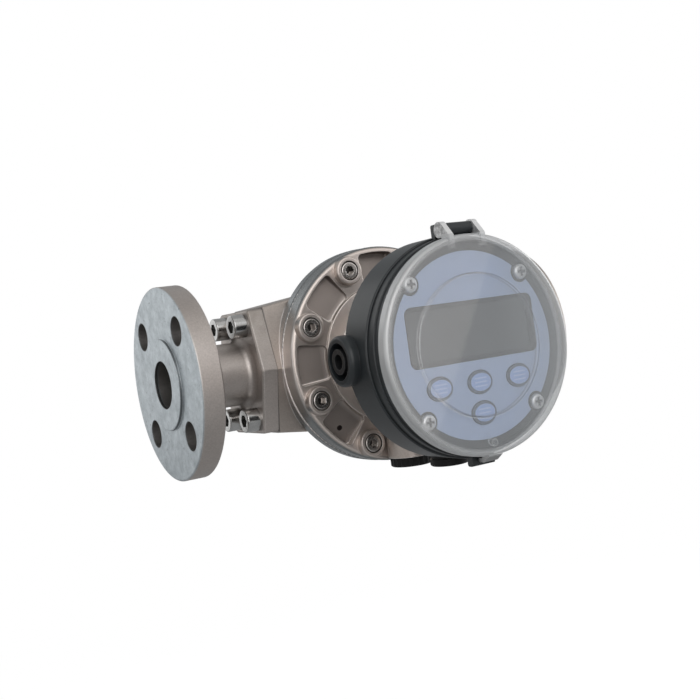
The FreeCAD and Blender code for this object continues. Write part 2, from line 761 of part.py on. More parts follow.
def oval_angles(shares):
    """The angles at which the oval has run through each share of its length."""
    steps = 3600
    points = []
    for i in range(steps + 1):
        angle = 2 * math.pi * i / steps
        radius = oval_radius(angle)
        points.append(V(radius * math.cos(angle), radius * math.sin(angle), 0))
    runs = [0.0]
    for i in range(steps):
        runs.append(runs[-1] + (points[i + 1] - points[i]).Length)
    angles = []
    for share in shares:
        target = (share % 1.0) * runs[-1]
        step = next(i for i in range(steps) if runs[i + 1] >= target)
        part = (target - runs[step]) / (runs[step + 1] - runs[step])
        angles.append(2 * math.pi * (step + part) / steps)
    return angles


def oval_rotor():
    """A toothed oval about y, with its long axis along x and a bore for two bushes."""
    front = JOINT_Y + ROTOR_END_GAP
    back = CHAMBER_BACK_Y - ROTOR_END_GAP
    offsets = (-TOOTH_ROOT_SHARE, -TOOTH_TIP_SHARE, TOOTH_TIP_SHARE, TOOTH_ROOT_SHARE)
    depths = (TOOTH_DEPTH, 0.0, 0.0, TOOTH_DEPTH)
    shares = [(tooth + offset) / TOOTH_COUNT for tooth in range(TOOTH_COUNT) for offset in offsets]
    corners = []
    for i, angle in enumerate(oval_angles(shares)):
        radius = oval_radius(angle) - depths[i % 4]
        corners.append(V(radius * math.cos(angle), front, radius * math.sin(angle)))
    corners.append(corners[0])
    blank = Part.Face(Part.makePolygon(corners)).extrude(V(0, back - front, 0))
    return blank.cut(rod("y", BUSH_R, front, back))


def rotor_magnet(side):
    """A round magnet set flush in the front of the upper rotor."""
    front = JOINT_Y + ROTOR_END_GAP
    return rod("y", MAGNET_R, front, front + MAGNET_LENGTH, side * MAGNET_OFFSET, 0)


def bush(end):
    """A plain bush flush with the front or the back of a rotor."""
    front = JOINT_Y + ROTOR_END_GAP
    back = CHAMBER_BACK_Y - ROTOR_END_GAP
    if end == "front":
        return ring("y", BUSH_R, SHAFT_R + SHAFT_FIT, front, front + BUSH_LENGTH)
    return ring("y", BUSH_R, SHAFT_R + SHAFT_FIT, back - BUSH_LENGTH, back)


def rotor_shaft():
    """A fixed shaft, pressed in the back of the chamber and steadied by the cap."""
    front = JOINT_Y - SHAFT_CAP_DEPTH + SHAFT_END_GAP
    back = CHAMBER_BACK_Y + SHAFT_SEAT_DEPTH
    shaft = rod("y", SHAFT_R, front, back)
    return shaft.makeChamfer(SHAFT_CHAMFER, edges_in_plane(shaft, "y", front))


def at_rotor(shape, side):
    """A rotor piece moved from the pipe axis to the upper or the lower rotor's axis."""
    copy = shape.copy()
    copy.translate(V(0, 0, side * ROTOR_CENTRE_Z))
    return copy


def sensor_board():
    """The round board on the ledge in the hub."""
    return rod("y", HUB_CAVITY_R - BOARD_GAP, HUB_LEDGE_Y - BOARD_T, HUB_LEDGE_Y)


def magnetic_sensor():
    """The sensor under the board, beside the path of the magnets."""
    return rounded_box("y", SENSOR_HALF_WIDTH, SENSOR_HALF_HEIGHT, SENSOR_ROUND,
                       HUB_LEDGE_Y, HUB_LEDGE_Y + SENSOR_T, 0, ROTOR_CENTRE_Z - MAGNET_OFFSET)


def housing_screw_angles():
    """Angles of the four screws that hold the display housing on the hub."""
    step = 360.0 / HOUSING_SCREW_COUNT
    return [step * (i + 0.5) for i in range(HOUSING_SCREW_COUNT)]


def housing_gasket():
    """The flat gasket between the hub and the display housing."""
    hole = rod("y", HOUSING_SCREW_HOLE_R, HUB_FRONT_Y, HOUSING_BACK_Y, HOUSING_SCREW_CIRCLE_R, 0)
    washer = ring("y", HUB_R, HUB_CAVITY_R, HUB_FRONT_Y, HOUSING_BACK_Y)
    return washer.cut(spread(hole, housing_screw_angles()))


def display_housing():
    """The moulded drum and bowl, with two cable ports and the screw posts."""
    shell = turned("y", [
        (HOUSING_BACK_Y, HOUSING_BORE_R, 0),
        (HOUSING_BACK_Y, HOUSING_FOOT_R, HOUSING_FOOT_ROUND),
        (BOWL_SHOULDER_Y, BOWL_SHOULDER_R, BOWL_SHOULDER_ROUND),
        (DRUM_BACK_Y, BOWL_R, BOWL_NECK_ROUND),
        (DRUM_BACK_Y, DRUM_R, DRUM_BACK_ROUND),
        (DRUM_FRONT_Y, DRUM_R, DRUM_FRONT_ROUND),
        (DRUM_FRONT_Y, DRUM_CAVITY_R, 0),
        (DRUM_FLOOR_Y, DRUM_CAVITY_R, DRUM_CAVITY_ROUND),
        (DRUM_FLOOR_Y, BOWL_CAVITY_R, DRUM_FLOOR_ROUND),
        (BOWL_CAVITY_END_Y, BOWL_CAVITY_END_R, BOWL_SHOULDER_ROUND),
        (HOUSING_FLOOR_Y, HOUSING_FLOOR_R, HOUSING_FOOT_ROUND),
        (HOUSING_FLOOR_Y, HOUSING_BORE_R, 0),
    ])
    left_boss = rod("x", PORT_BOSS_R, -PORT_END, -BOWL_CAVITY_R, PORT_Y, PORT_Z)
    left_boss = left_boss.makeFillet(PORT_END_ROUND, edges_in_plane(left_boss, "x", -PORT_END))
    lower_boss = rod("z", PORT_BOSS_R, -LOWER_PORT_END, -BOWL_CAVITY_R, 0, LOWER_PORT_Y)
    lower_boss = lower_boss.makeFillet(PORT_END_ROUND, edges_in_plane(lower_boss, "z", -LOWER_PORT_END))
    post_r = POST_R + POST_WALL
    posts = [rod("y", post_r, BEZEL_SPIGOT_Y, DRUM_FLOOR_Y, x, z) for x, z in facia_screw_places()]
    bowl_clear = rod("y", BOWL_CLEAR_R, DRUM_FLOOR_Y, BOWL_CLEAR_Y)
    moulding = joined(shell, left_boss, lower_boss, *posts).cut(bowl_clear)
    cuts = [
        rod("x", PORT_BORE_R, -PORT_END, -PORT_SHOULDER, PORT_Y, PORT_Z),
        rod("x", PORT_INNER_R, -PORT_SHOULDER, -PORT_INNER_END, PORT_Y, PORT_Z),
        rod("z", PORT_BORE_R, -LOWER_PORT_END, -PORT_SHOULDER, 0, LOWER_PORT_Y),
        rod("z", PORT_INNER_R, -PORT_SHOULDER, -PORT_INNER_END, 0, LOWER_PORT_Y),
    ]
    hole = rod("y", HOUSING_SCREW_HOLE_R, HOUSING_BACK_Y, HOUSING_FLOOR_Y, HOUSING_SCREW_CIRCLE_R, 0)
    cuts.extend(spread(hole, housing_screw_angles()))
    for x, z in facia_screw_places():
        cuts.append(rod("y", FACIA_SCREW_R + SHANK_GAP, BEZEL_SPIGOT_Y, FACIA_TAP_END_Y, x, z))
    return moulding.cut(cuts)


def housing_screws():
    """Four small pan head screws in the floor of the display housing."""
    head_y = HOUSING_FLOOR_Y - HOUSING_HEAD_H
    end_y = HUB_FRONT_Y + HOUSING_SCREW_GRIP
    head = rod("y", HOUSING_HEAD_R, head_y, HOUSING_FLOOR_Y, HOUSING_SCREW_CIRCLE_R, 0)
    head = head.makeFillet(HOUSING_HEAD_ROUND, edges_in_plane(head, "y", head_y))
    shank = rod("y", HOUSING_SCREW_R, HOUSING_FLOOR_Y, end_y, HOUSING_SCREW_CIRCLE_R, 0)
    return Part.makeCompound(spread(joined(head, shank), housing_screw_angles()))


def bezel_seal():
    """The seal ring round the bezel's spigot."""
    radius = BEZEL_SPIGOT_R - BEZEL_SEAL_SINK
    return Part.makeTorus(radius, BEZEL_SEAL_SECTION_R, V(0, BEZEL_SEAL_Y, 0), V(0, 1, 0))


def hinge_knuckle():
    """The block on top of the bezel and the barrel that holds the hinge pin."""
    block = rounded_box("y", HINGE_BLOCK_HALF, HINGE_BLOCK_HALF_HEIGHT, HINGE_BLOCK_ROUND,
                        DRUM_FRONT_Y, HINGE_BLOCK_FRONT_Y, 0, HINGE_BLOCK_TOP_Z - HINGE_BLOCK_HALF_HEIGHT)
    block = block.cut(rod("y", HINGE_BLOCK_BED_R, DRUM_FRONT_Y, HINGE_BLOCK_FRONT_Y))
    top_z = HINGE_Z + BARREL_R
    web = prism("x", [
        (DRUM_FRONT_Y, BARREL_ROOT_Z, 0),
        (HINGE_Y, BARREL_ROOT_Z, 0),
        (HINGE_Y, top_z, 0),
        (DRUM_FRONT_Y, top_z, 0),
    ], -BARREL_HALF, BARREL_HALF)
    barrel = rod("x", BARREL_R, -BARREL_HALF, BARREL_HALF, HINGE_Y, HINGE_Z)
    return joined(block, web, barrel)


def window_block(margin, rounding, front, back):
    """A block of the window's outline, larger or smaller by a margin on each side."""
    return rounded_box("y", WINDOW_HALF_WIDTH + margin, WINDOW_HALF_HEIGHT + margin, rounding,
                       front, back, 0, WINDOW_Z)


def key_bar(margin, front, back, x, z):
    """A bar of a key's outline, larger or smaller by a margin all round."""
    return oval(KEY_HALF_WIDTH + margin, KEY_HALF_HEIGHT + margin, front, back, x, z)


def front_bezel():
    """The moulded face of the display: rim, spigot, posts, hinge knuckle, latch ridge and catch."""
    dish = turned("y", [
        (BEZEL_FACE_Y, 0, 0),
        (BEZEL_FACE_Y, BEZEL_PLATEAU_R, BEZEL_PLATEAU_ROUND),
        (BEZEL_SEAT_Y, BEZEL_PLATEAU_R, 0),
        (BEZEL_SEAT_Y, BEZEL_R, BEZEL_SEAT_ROUND),
        (BAND_FRONT_Y, BEZEL_R, 0),
        (BAND_FRONT_Y, BAND_R, BAND_ROUND),
        (DRUM_FRONT_Y, BAND_R, BAND_ROUND),
        (DRUM_FRONT_Y, BEZEL_SPIGOT_R, 0),
        (BEZEL_SPIGOT_Y, BEZEL_SPIGOT_R, BEZEL_SEAT_ROUND),
        (BEZEL_SPIGOT_Y, BEZEL_INNER_R, 0),
        (BEZEL_LEDGE_Y, BEZEL_INNER_R, 0),
        (BEZEL_LEDGE_Y, BEZEL_LEDGE_R, 0),
        (BEZEL_WALL_Y, BEZEL_LEDGE_R, 0),
        (BEZEL_WALL_Y, 0, 0),
    ])
    posts = [rod("y", POST_R, BEZEL_FACE_Y, BEZEL_SPIGOT_Y, x, z) for x, z in facia_screw_places()]
    ridge = rounded_box("y", RIDGE_HALF, RIDGE_HALF_HEIGHT, RIDGE_ROUND, RIDGE_FRONT_Y, RIDGE_BACK_Y,
                        0, RIDGE_Z)
    catch = rounded_box("x", (DRUM_FRONT_Y - CATCH_FRONT_Y) / 2, (CATCH_TOP_Z - CATCH_BOTTOM_Z) / 2,
                        CATCH_ROUND, -CATCH_HALF, CATCH_HALF,
                        (DRUM_FRONT_Y + CATCH_FRONT_Y) / 2, (CATCH_TOP_Z + CATCH_BOTTOM_Z) / 2)
    moulding = joined(dish, hinge_knuckle(), ridge, catch, *posts)
    window_back = BEZEL_FACE_Y - WINDOW_PROUD + WINDOW_T
    groove_r = BEZEL_SPIGOT_R - BEZEL_GROOVE_DEPTH
    groove_front = BEZEL_SEAL_Y - BEZEL_GROOVE_HALF
    groove_back = BEZEL_SEAL_Y + BEZEL_GROOVE_HALF
    cuts = [
        window_block(WINDOW_GAP, WINDOW_ROUND, BEZEL_FACE_Y, window_back),
        window_block(-WINDOW_LEDGE, WINDOW_LEDGE_ROUND, BEZEL_FACE_Y, BEZEL_WALL_Y),
        ring("y", BEZEL_SPIGOT_R, groove_r, groove_front, groove_back),
        rod("x", HINGE_PIN_R + PRESS_GAP, -BARREL_HALF, BARREL_HALF, HINGE_Y, HINGE_Z),
    ]
    for x, z in facia_screw_places():
        cuts.append(rod("y", FACIA_SCREW_R + SHANK_GAP, BEZEL_FACE_Y, BEZEL_SPIGOT_Y, x, z))
    for x, z in KEYS.values():
        cuts.append(key_bar(KEY_GAP, BEZEL_FACE_Y, BEZEL_WALL_Y, x, z))
    return moulding.cut(cuts)


def face_label():
    """The thin printed disc on the bezel, cut out for the window, the keys and the screws."""
    front = BEZEL_FACE_Y - LABEL_T
    disc = rod("y", LABEL_R, front, BEZEL_FACE_Y)
    cuts = [window_block(WINDOW_GAP, WINDOW_ROUND, front, BEZEL_FACE_Y)]
    for x, z in KEYS.values():
        cuts.append(key_bar(KEY_GAP, front, BEZEL_FACE_Y, x, z))
    for x, z in facia_screw_places():
        cuts.append(rod("y", FACIA_HEAD_R + FACIA_HEAD_MARGIN, front, BEZEL_FACE_Y, x, z))
    return disc.cut(cuts)


def lcd_window():
    """The clear window in the bezel."""
    front = BEZEL_FACE_Y - WINDOW_PROUD
    return window_block(0, WINDOW_ROUND - WINDOW_GAP, front, front + WINDOW_T)


def lcd_module():
    """The display module between the bezel's wall and the main board."""
    return window_block(LCD_MARGIN, LCD_ROUND, BEZEL_WALL_Y, BEZEL_LEDGE_Y)


def main_board():
    """The round board on the bezel's ledge, cut out for the screw posts."""
    back = BEZEL_LEDGE_Y + BOARD_T
    disc = rod("y", BEZEL_INNER_R - BOARD_GAP, BEZEL_LEDGE_Y, back)
    cuts = [rod("y", POST_R + POST_GAP, BEZEL_LEDGE_Y, back, x, z) for x, z in facia_screw_places()]
    return disc.cut(cuts)


def key_switches():
    """Four small push switches on the main board, one behind each key."""
    top = BEZEL_LEDGE_Y - SWITCH_H
    switches = []
    for x, z in KEYS.values():
        body = rounded_box("y", SWITCH_HALF, SWITCH_HALF, SWITCH_ROUND, top, BEZEL_LEDGE_Y, x, z)
        plunger = rod("y", PLUNGER_R, top - PLUNGER_H, top, x, z)
        switches.append(joined(body, plunger))
    return Part.makeCompound(switches)


def terminal_block():
    """The row of cable clamps on the back of the main board."""
    front = BEZEL_LEDGE_Y + BOARD_T
    back = front + TERMINAL_DEPTH
    bottom_z = TERMINAL_Z - TERMINAL_HALF_HEIGHT
    block = rounded_box("y", TERMINAL_HALF_WIDTH, TERMINAL_HALF_HEIGHT, TERMINAL_ROUND,
                        front, back, 0, TERMINAL_Z)
    cuts = []
    for i in range(TERMINAL_COUNT):
        x = TERMINAL_PITCH * (i - (TERMINAL_COUNT - 1) / 2)
        cuts.append(rod("y", TERMINAL_SCREW_R, back - TERMINAL_SCREW_DEPTH, back, x, TERMINAL_SCREW_Z))
        cuts.append(rod("z", TERMINAL_WIRE_R, bottom_z, bottom_z + TERMINAL_WIRE_DEPTH,
                        x, front + TERMINAL_WIRE_STAND))
    return block.cut(cuts)


def battery_axis():
    """Where the battery lies behind the main board, as y and z."""
    return BEZEL_LEDGE_Y + BOARD_T + BATTERY_STAND, BATTERY_Z


def battery_holder():
    """The open tray on the back of the main board."""
    y, z = battery_axis()
    front = BEZEL_LEDGE_Y + BOARD_T
    tray = rounded_box("y", HOLDER_HALF_WIDTH, HOLDER_HALF_HEIGHT, HOLDER_ROUND,
                       front, front + HOLDER_DEPTH, 0, z)
    return tray.cut(rod("x", BATTERY_R + HOLDER_GAP, -BATTERY_HALF, BATTERY_HALF, y + HOLDER_GAP, z))


def battery():
    """A lithium cell with its raised end."""
    y, z = battery_axis()
    end_x = BATTERY_HALF - BATTERY_END_GAP
    shoulder_x = end_x - BATTERY_END_H
    cell = rod("x", BATTERY_R, -BATTERY_HALF, shoulder_x, y, z)
    return joined(cell, rod("x", BATTERY_END_R, shoulder_x, end_x, y, z))


def facia_screws():
    """Four pan head screws with a cross recess, through the bezel into the housing."""
    cross_end = CROSS_DEPTH - FACIA_HEAD_H
    screws = []
    for x, z in facia_screw_places():
        head = turned("y", [
            (-FACIA_HEAD_H, 0, 0),
            (-FACIA_HEAD_H, FACIA_HEAD_R, FACIA_HEAD_ROUND),
            (0, FACIA_HEAD_R, 0),
            (0, 0, 0),
        ])
        shank = rod("y", FACIA_SCREW_R, 0, FACIA_SCREW_LENGTH)
        recess = [
            rounded_box("y", CROSS_HALF, CROSS_HALF_WIDTH, CROSS_ROUND, -FACIA_HEAD_H, cross_end),
            rounded_box("y", CROSS_HALF_WIDTH, CROSS_HALF, CROSS_ROUND, -FACIA_HEAD_H, cross_end),
        ]
        screw = joined(head, shank).cut(recess)
        screw.translate(V(x, BEZEL_FACE_Y, z))
        screws.append(screw)
    return Part.makeCompound(screws)


def key(x, z):
    """An oval key: raised top, rim in the bezel's hole and a collar behind its wall."""
    collar_front = BEZEL_WALL_Y + KEY_BACK_GAP
    top = key_bar(-KEY_TOP_INSET, KEY_TOP_Y, KEY_RIM_Y, x, z)
    rim = key_bar(0, KEY_RIM_Y, collar_front, x, z)
    collar = key_bar(KEY_COLLAR, collar_front, collar_front + KEY_COLLAR_T, x, z)
    return joined(rim, top, collar)


def cover_lug(side):
    """A hinge lug of the flip cover: an eye round the pin, and a web that runs down the face as a rib."""
    rib_y = COVER_FRONT_Y - LUG_RIB_H
    web = [
        (LUG_EYE_BACK_Y, LUG_EYE_TOP_Z, 0),
        (LUG_SHOULDER_Y, LUG_SHOULDER_Z, LUG_SHOULDER_ROUND),
        (rib_y, COVER_R, LUG_KNEE_ROUND),
        (rib_y, LUG_RIB_END_Z, LUG_RIB_END_ROUND),
        (LUG_ROOT_Y, LUG_RIB_END_Z - LUG_RIB_END_SLOPE, 0),
        (LUG_ROOT_Y, LUG_RIM_Z, 0),
        (LUG_RIM_Y, LUG_RIM_Z, 0),
        (LUG_RIM_Y, LUG_EYE_LOW_Z, 0),
        (LUG_EYE_BACK_Y, LUG_EYE_LOW_Z, 0),
    ]
    start = side * LUG_INNER_X
    end = side * LUG_OUTER_X
    return prism("x", web, start, end).fuse(rod("x", LUG_R, start, end, HINGE_Y, HINGE_Z))


def flip_cover():
    """The clear cover: a shallow dish with a raised disc, two hinge lugs and a latch tab."""
    inner_r = COVER_R - COVER_WALL
    inner_y = COVER_FRONT_Y + COVER_WALL
    dish = turned("y", [
        (COVER_FRONT_Y - COVER_DISC_H, 0, 0),
        (COVER_FRONT_Y - COVER_DISC_H, COVER_DISC_R, COVER_DISC_ROUND),
        (COVER_FRONT_Y, COVER_DISC_R, COVER_DISC_ROUND),
        (COVER_FRONT_Y, COVER_R, COVER_ROUND),
        (COVER_BACK_Y, COVER_R, COVER_LIP_ROUND),
        (COVER_BACK_Y, inner_r, COVER_LIP_ROUND),
        (inner_y, inner_r, COVER_INNER_ROUND),
        (inner_y, 0, 0),
    ])
    tab = prism("x", [
        (TAB_ROOT_Y, TAB_ROOT_Z, 0),
        (COVER_BACK_Y, TAB_ROOT_Z, 0),
        (COVER_BACK_Y, TAB_TOP_Z, 0),
        (TAB_BACK_Y, TAB_TOP_Z, TAB_TOP_ROUND),
        (TAB_BACK_Y, TAB_BOTTOM_Z, TAB_BACK_ROUND),
        (TAB_FRONT_Y, TAB_BOTTOM_Z, TAB_FRONT_ROUND),
        (TAB_ROOT_Y, -COVER_R, TAB_ROOT_ROUND),
    ], -TAB_HALF, TAB_HALF)
    post = rod("y", COVER_POST_R, inner_y, inner_y + COVER_POST_H, 0, COVER_POST_Z)
    cover = joined(dish, cover_lug(-1), cover_lug(1), tab, post)
    eye_end = LUG_OUTER_X - LUG_EYE_WALL
    return cover.cut(rod("x", HINGE_PIN_R + HINGE_PIN_FIT, -eye_end, eye_end, HINGE_Y, HINGE_Z))


def hinge_pin():
    """The steel pin through the barrel, on whose ends the lugs snap."""
    half = LUG_OUTER_X - HINGE_PIN_SINK
    return rod("x", HINGE_PIN_R, -half, half, HINGE_Y, HINGE_Z)


def gland_insert():
    """The insert in the left port: a collar on the port's shoulder and a tube for the cable."""
    collar_x = -PORT_SHOULDER - GLAND_COLLAR_T
    collar = rod("x", PORT_BORE_R - SHANK_GAP, collar_x, -PORT_SHOULDER, PORT_Y, PORT_Z)
    tube = rod("x", GLAND_TUBE_R, -PORT_END, -PORT_SHOULDER, PORT_Y, PORT_Z)
    return joined(collar, tube).cut(rod("x", GLAND_BORE_R, -PORT_END, -PORT_SHOULDER, PORT_Y, PORT_Z))


def lower_plug():
    """The plain plug in the lower port of the display housing."""
    end = -LOWER_PORT_END - LOWER_PLUG_H
    head = rod("z", LOWER_PLUG_R, end, -LOWER_PORT_END, 0, LOWER_PORT_Y)
    head = head.makeFillet(LOWER_PLUG_ROUND, edges_in_plane(head, "z", end))
    shank_end = LOWER_PLUG_SHANK - LOWER_PORT_END
    shank = rod("z", PORT_BORE_R - SHANK_GAP, -LOWER_PORT_END, shank_end, 0, LOWER_PORT_Y)
    slot = rounded_box("z", LOWER_PLUG_SLOT_HALF, LOWER_PLUG_SLOT_HALF_WIDTH, 0,
                       end, end + LOWER_PLUG_SLOT_DEPTH, 0, LOWER_PORT_Y)
    return joined(head, shank).cut(slot)


def conduit_plug():
    """The ribbed plug in the conduit boss of the cap."""
    end = CONDUIT_END_Z - CONDUIT_PLUG_H
    head = rod("z", CONDUIT_PLUG_R, end, CONDUIT_END_Z, 0, CONDUIT_Y)
    head = head.makeFillet(CONDUIT_PLUG_ROUND, edges_in_plane(head, "z", end))
    ribs = []
    for i in range(PLUG_RIB_COUNT):
        angle = 2 * math.pi * i / PLUG_RIB_COUNT
        x = PLUG_RIB_CIRCLE_R * math.cos(angle)
        y = CONDUIT_Y + PLUG_RIB_CIRCLE_R * math.sin(angle)
        ribs.append(rod("z", PLUG_RIB_R, end + CONDUIT_PLUG_ROUND, CONDUIT_END_Z - PLUG_RIB_GAP, x, y))
    shank_end = CONDUIT_END_Z + CONDUIT_PLUG_SHANK
    shank = rod("z", CONDUIT_BORE_R - SHANK_GAP, CONDUIT_END_Z, shank_end, 0, CONDUIT_Y)
    return joined(head, shank, *ribs)


def save(name, shape):
    """Write a piece, moved so that the middle of the inlet's raised face is the origin."""
    moved = shape.copy()
    moved.translate(V(FACE_TO_FACE / 2, 0, 0))
    moved.exportStep("parts/" + name + ".step")


os.makedirs("parts", exist_ok=True)

flange = inlet_flange()
flange_screws = inlet_screws()
flange_seal = port_seal()
save("inlet_flange", flange)
save("outlet_flange", outlet(flange))
save("inlet_screws", flange_screws)
save("outlet_screws", outlet(flange_screws))
save("inlet_seal", flange_seal)
save("outlet_seal", outlet(flange_seal))

save("meter_body", meter_body())
save("meter_cap", meter_cap())
save("cap_screws", cap_screws())
save("cap_seal", cap_seal())

rotor = oval_rotor()
magnets = [rotor_magnet(-1), rotor_magnet(1)]
lower_rotor = rotor.copy()
lower_rotor.rotate(V(0, 0, 0), V(0, 1, 0), 90)
save("upper_rotor", at_rotor(rotor.cut(magnets), 1))
save("lower_rotor", at_rotor(lower_rotor, -1))
save("rotor_magnets", at_rotor(Part.makeCompound(magnets), 1))
for rotor_name, rotor_side in (("upper", 1), ("lower", -1)):
    save(rotor_name + "_front_bush", at_rotor(bush("front"), rotor_side))
    save(rotor_name + "_rear_bush", at_rotor(bush("rear"), rotor_side))
    save(rotor_name + "_shaft", at_rotor(rotor_shaft(), rotor_side))

save("sensor_board", sensor_board())
save("magnetic_sensor", magnetic_sensor())
save("conduit_plug", conduit_plug())

save("housing_gasket", housing_gasket())
save("housing_screws", housing_screws())
save("display_housing", display_housing())
save("gland_insert", gland_insert())
save("lower_plug", lower_plug())

save("bezel_seal", bezel_seal())
save("front_bezel", front_bezel())
save("facia_screws", facia_screws())
save("face_label", face_label())
save("lcd_window", lcd_window())
save("lcd_module", lcd_module())
save("main_board", main_board())
save("key_switches", key_switches())
save("terminal_block", terminal_block())
save("battery_holder", battery_holder())
save("battery", battery())
for key_name, (key_x, key_z) in KEYS.items():
    save(key_name, key(key_x, key_z))

save("flip_cover", flip_cover())
save("hinge_pin", hinge_pin())
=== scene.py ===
import bpy
import math
from mathutils import Matrix, Vector

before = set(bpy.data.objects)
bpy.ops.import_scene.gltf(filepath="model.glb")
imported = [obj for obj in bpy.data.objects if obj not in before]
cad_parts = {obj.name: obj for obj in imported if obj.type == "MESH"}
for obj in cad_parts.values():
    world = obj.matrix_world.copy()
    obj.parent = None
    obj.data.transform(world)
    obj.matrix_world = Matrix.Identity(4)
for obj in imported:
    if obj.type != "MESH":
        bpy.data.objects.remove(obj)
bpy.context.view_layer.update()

# Camera: level with the pipe, a little to the left of the display, and tilted as the photograph is.
# Its place and its lens come from fitting the round flange, cap and display to the picture.
VIEW_FROM = Vector((-0.188273, -0.556984, 0.018158))
VIEW_AZIMUTH = math.radians(28.932)
VIEW_DROP = math.radians(1.295)
VIEW_ROLL = math.radians(-7.947)
LENS_MM = 54.01
SENSOR_MM = 36
NEAREST = 0.01

ahead = Vector((math.sin(VIEW_AZIMUTH) * math.cos(VIEW_DROP),
                math.cos(VIEW_AZIMUTH) * math.cos(VIEW_DROP),
                -math.sin(VIEW_DROP)))
level_right = Vector((math.cos(VIEW_AZIMUTH), -math.sin(VIEW_AZIMUTH), 0))
level_up = level_right.cross(ahead)
right = math.cos(VIEW_ROLL) * level_right + math.sin(VIEW_ROLL) * level_up
up = math.cos(VIEW_ROLL) * level_up - math.sin(VIEW_ROLL) * level_right
turn = Matrix((right, up, -ahead)).transposed().to_4x4()
camera = bpy.data.objects.new("camera", bpy.data.cameras.new("camera"))
camera.data.lens = LENS_MM
camera.data.sensor_width = SENSOR_MM
camera.data.clip_start = NEAREST
camera.matrix_world = Matrix.Translation(VIEW_FROM) @ turn
bpy.context.scene.collection.objects.link(camera)
bpy.context.scene.camera = camera
bpy.context.scene.view_settings.view_transform = "Standard"

# Studio: a pale floor well below the meter, which hangs in its pipe line, under soft lamps.
# White paper is all round it. Grey flags in front, behind, above and below show in gloss alone.
METER_MIDDLE = (0.12, -0.05, 0.0)
WHITE = (1.0, 1.0, 1.0, 1.0)
FLOOR_Z = -0.30
FLOOR_HALF = 4
FLOOR_GREY = (0.83, 0.87)
FLOOR_FIBRES = 900.0
FLOOR_BOUNCE = (0.45, 0.45, 0.45, 1.0)
FLOOR_LIFT = 0.36
FLOOR_FADE_FROM = 0.3
FLOOR_FADE_TO = 0.75


def add(tree, kind, inputs=None, **settings):
    """A node of a tree. An input is a plain value, or the output of an earlier node."""
    node = tree.nodes.new(kind)
    for name, value in settings.items():
        setattr(node, name, value)
    for name, value in (inputs or {}).items():
        if isinstance(value, bpy.types.NodeSocket):
            tree.links.new(value, node.inputs[name])
        else:
            node.inputs[name].default_value = value
    return node


def maths(tree, operation, *values, **settings):
    """What a sum makes of one, two or three values."""
    node = add(tree, "ShaderNodeMath", dict(enumerate(values)), operation=operation, **settings)
    return node.outputs[0]


def vectors(tree, operation, *values):
    """What a sum makes of vectors. A distance is one number."""
    node = add(tree, "ShaderNodeVectorMath", dict(enumerate(values)), operation=operation)
    return node.outputs["Value" if operation == "DISTANCE" else "Vector"]


def place(tree):
    """Where a point is, in the frame of the CAD."""
    return add(tree, "ShaderNodeTexCoord").outputs["Object"]


def noise(tree, scale, detail, **inputs):
    """A noise over a surface, from 0 to 1."""
    inputs = {"Vector": place(tree), "Scale": scale, "Detail": detail, **inputs}
    return add(tree, "ShaderNodeTexNoise", inputs).outputs[0]


def spread(tree, value, low, high):
    """A value from 0 to 1, laid between two others."""
    inputs = {"Value": value, "To Min": low, "To Max": high}
    return add(tree, "ShaderNodeMapRange", inputs).outputs[0]


def mixed(tree, share, first, second):
    """A shader between two others."""
    return add(tree, "ShaderNodeMixShader", {0: share, 1: first, 2: second}).outputs[0]


def seen_directly(tree):
    """1 where a ray comes from the camera, from gloss or through something clear."""
    rays = add(tree, "ShaderNodeLightPath").outputs
    seen = maths(tree, "MAXIMUM", rays["Is Camera Ray"], rays["Is Glossy Ray"])
    return maths(tree, "MAXIMUM", seen, rays["Is Transmission Ray"])


def blank(name):
    """A new material with an empty tree."""
    material = bpy.data.materials.new(name)
    material.use_nodes = True
    material.node_tree.nodes.clear()
    return material, material.node_tree


def stage_sheet(name, corners, material):
    """A flat four cornered sheet of the studio."""
    mesh = bpy.data.meshes.new(name)
    mesh.from_pydata(corners, [], [(0, 1, 2, 3)])
    sheet = bpy.data.objects.new(name, mesh)
    mesh.materials.append(material)
    bpy.context.scene.collection.objects.link(sheet)
    return sheet


def level_corners(left, right, front, back, z):
    """The corners of a level sheet."""
    return [(left, front, z), (right, front, z), (right, back, z), (left, back, z)]


floor_paper, tree = blank("floor_paper")
fibres = noise(tree, scale=FLOOR_FIBRES, detail=3.0)
lit = add(tree, "ShaderNodeBsdfDiffuse", {"Color": spread(tree, fibres, *FLOOR_GREY)}).outputs[0]
lift = add(tree, "ShaderNodeEmission", {"Strength": FLOOR_LIFT}).outputs[0]
lifted = add(tree, "ShaderNodeAddShader", {0: lit, 1: lift}).outputs[0]
white = add(tree, "ShaderNodeEmission", {"Strength": 1.0}).outputs[0]
bounce = add(tree, "ShaderNodeBsdfDiffuse", {"Color": FLOOR_BOUNCE}).outputs[0]
flat = vectors(tree, "MULTIPLY", place(tree), (1.0, 1.0, 0.0))
away = vectors(tree, "DISTANCE", flat, METER_MIDDLE)
far = add(tree, "ShaderNodeMapRange",
          {"Value": away, "From Min": FLOOR_FADE_FROM, "From Max": FLOOR_FADE_TO},
          interpolation_type="SMOOTHSTEP").outputs[0]
shown = mixed(tree, far, lifted, white)
add(tree, "ShaderNodeOutputMaterial", {"Surface": mixed(tree, seen_directly(tree), bounce, shown)})
floor_corners = level_corners(-FLOOR_HALF, FLOOR_HALF, -FLOOR_HALF, FLOOR_HALF, FLOOR_Z)
stage_sheet("floor", floor_corners, floor_paper)


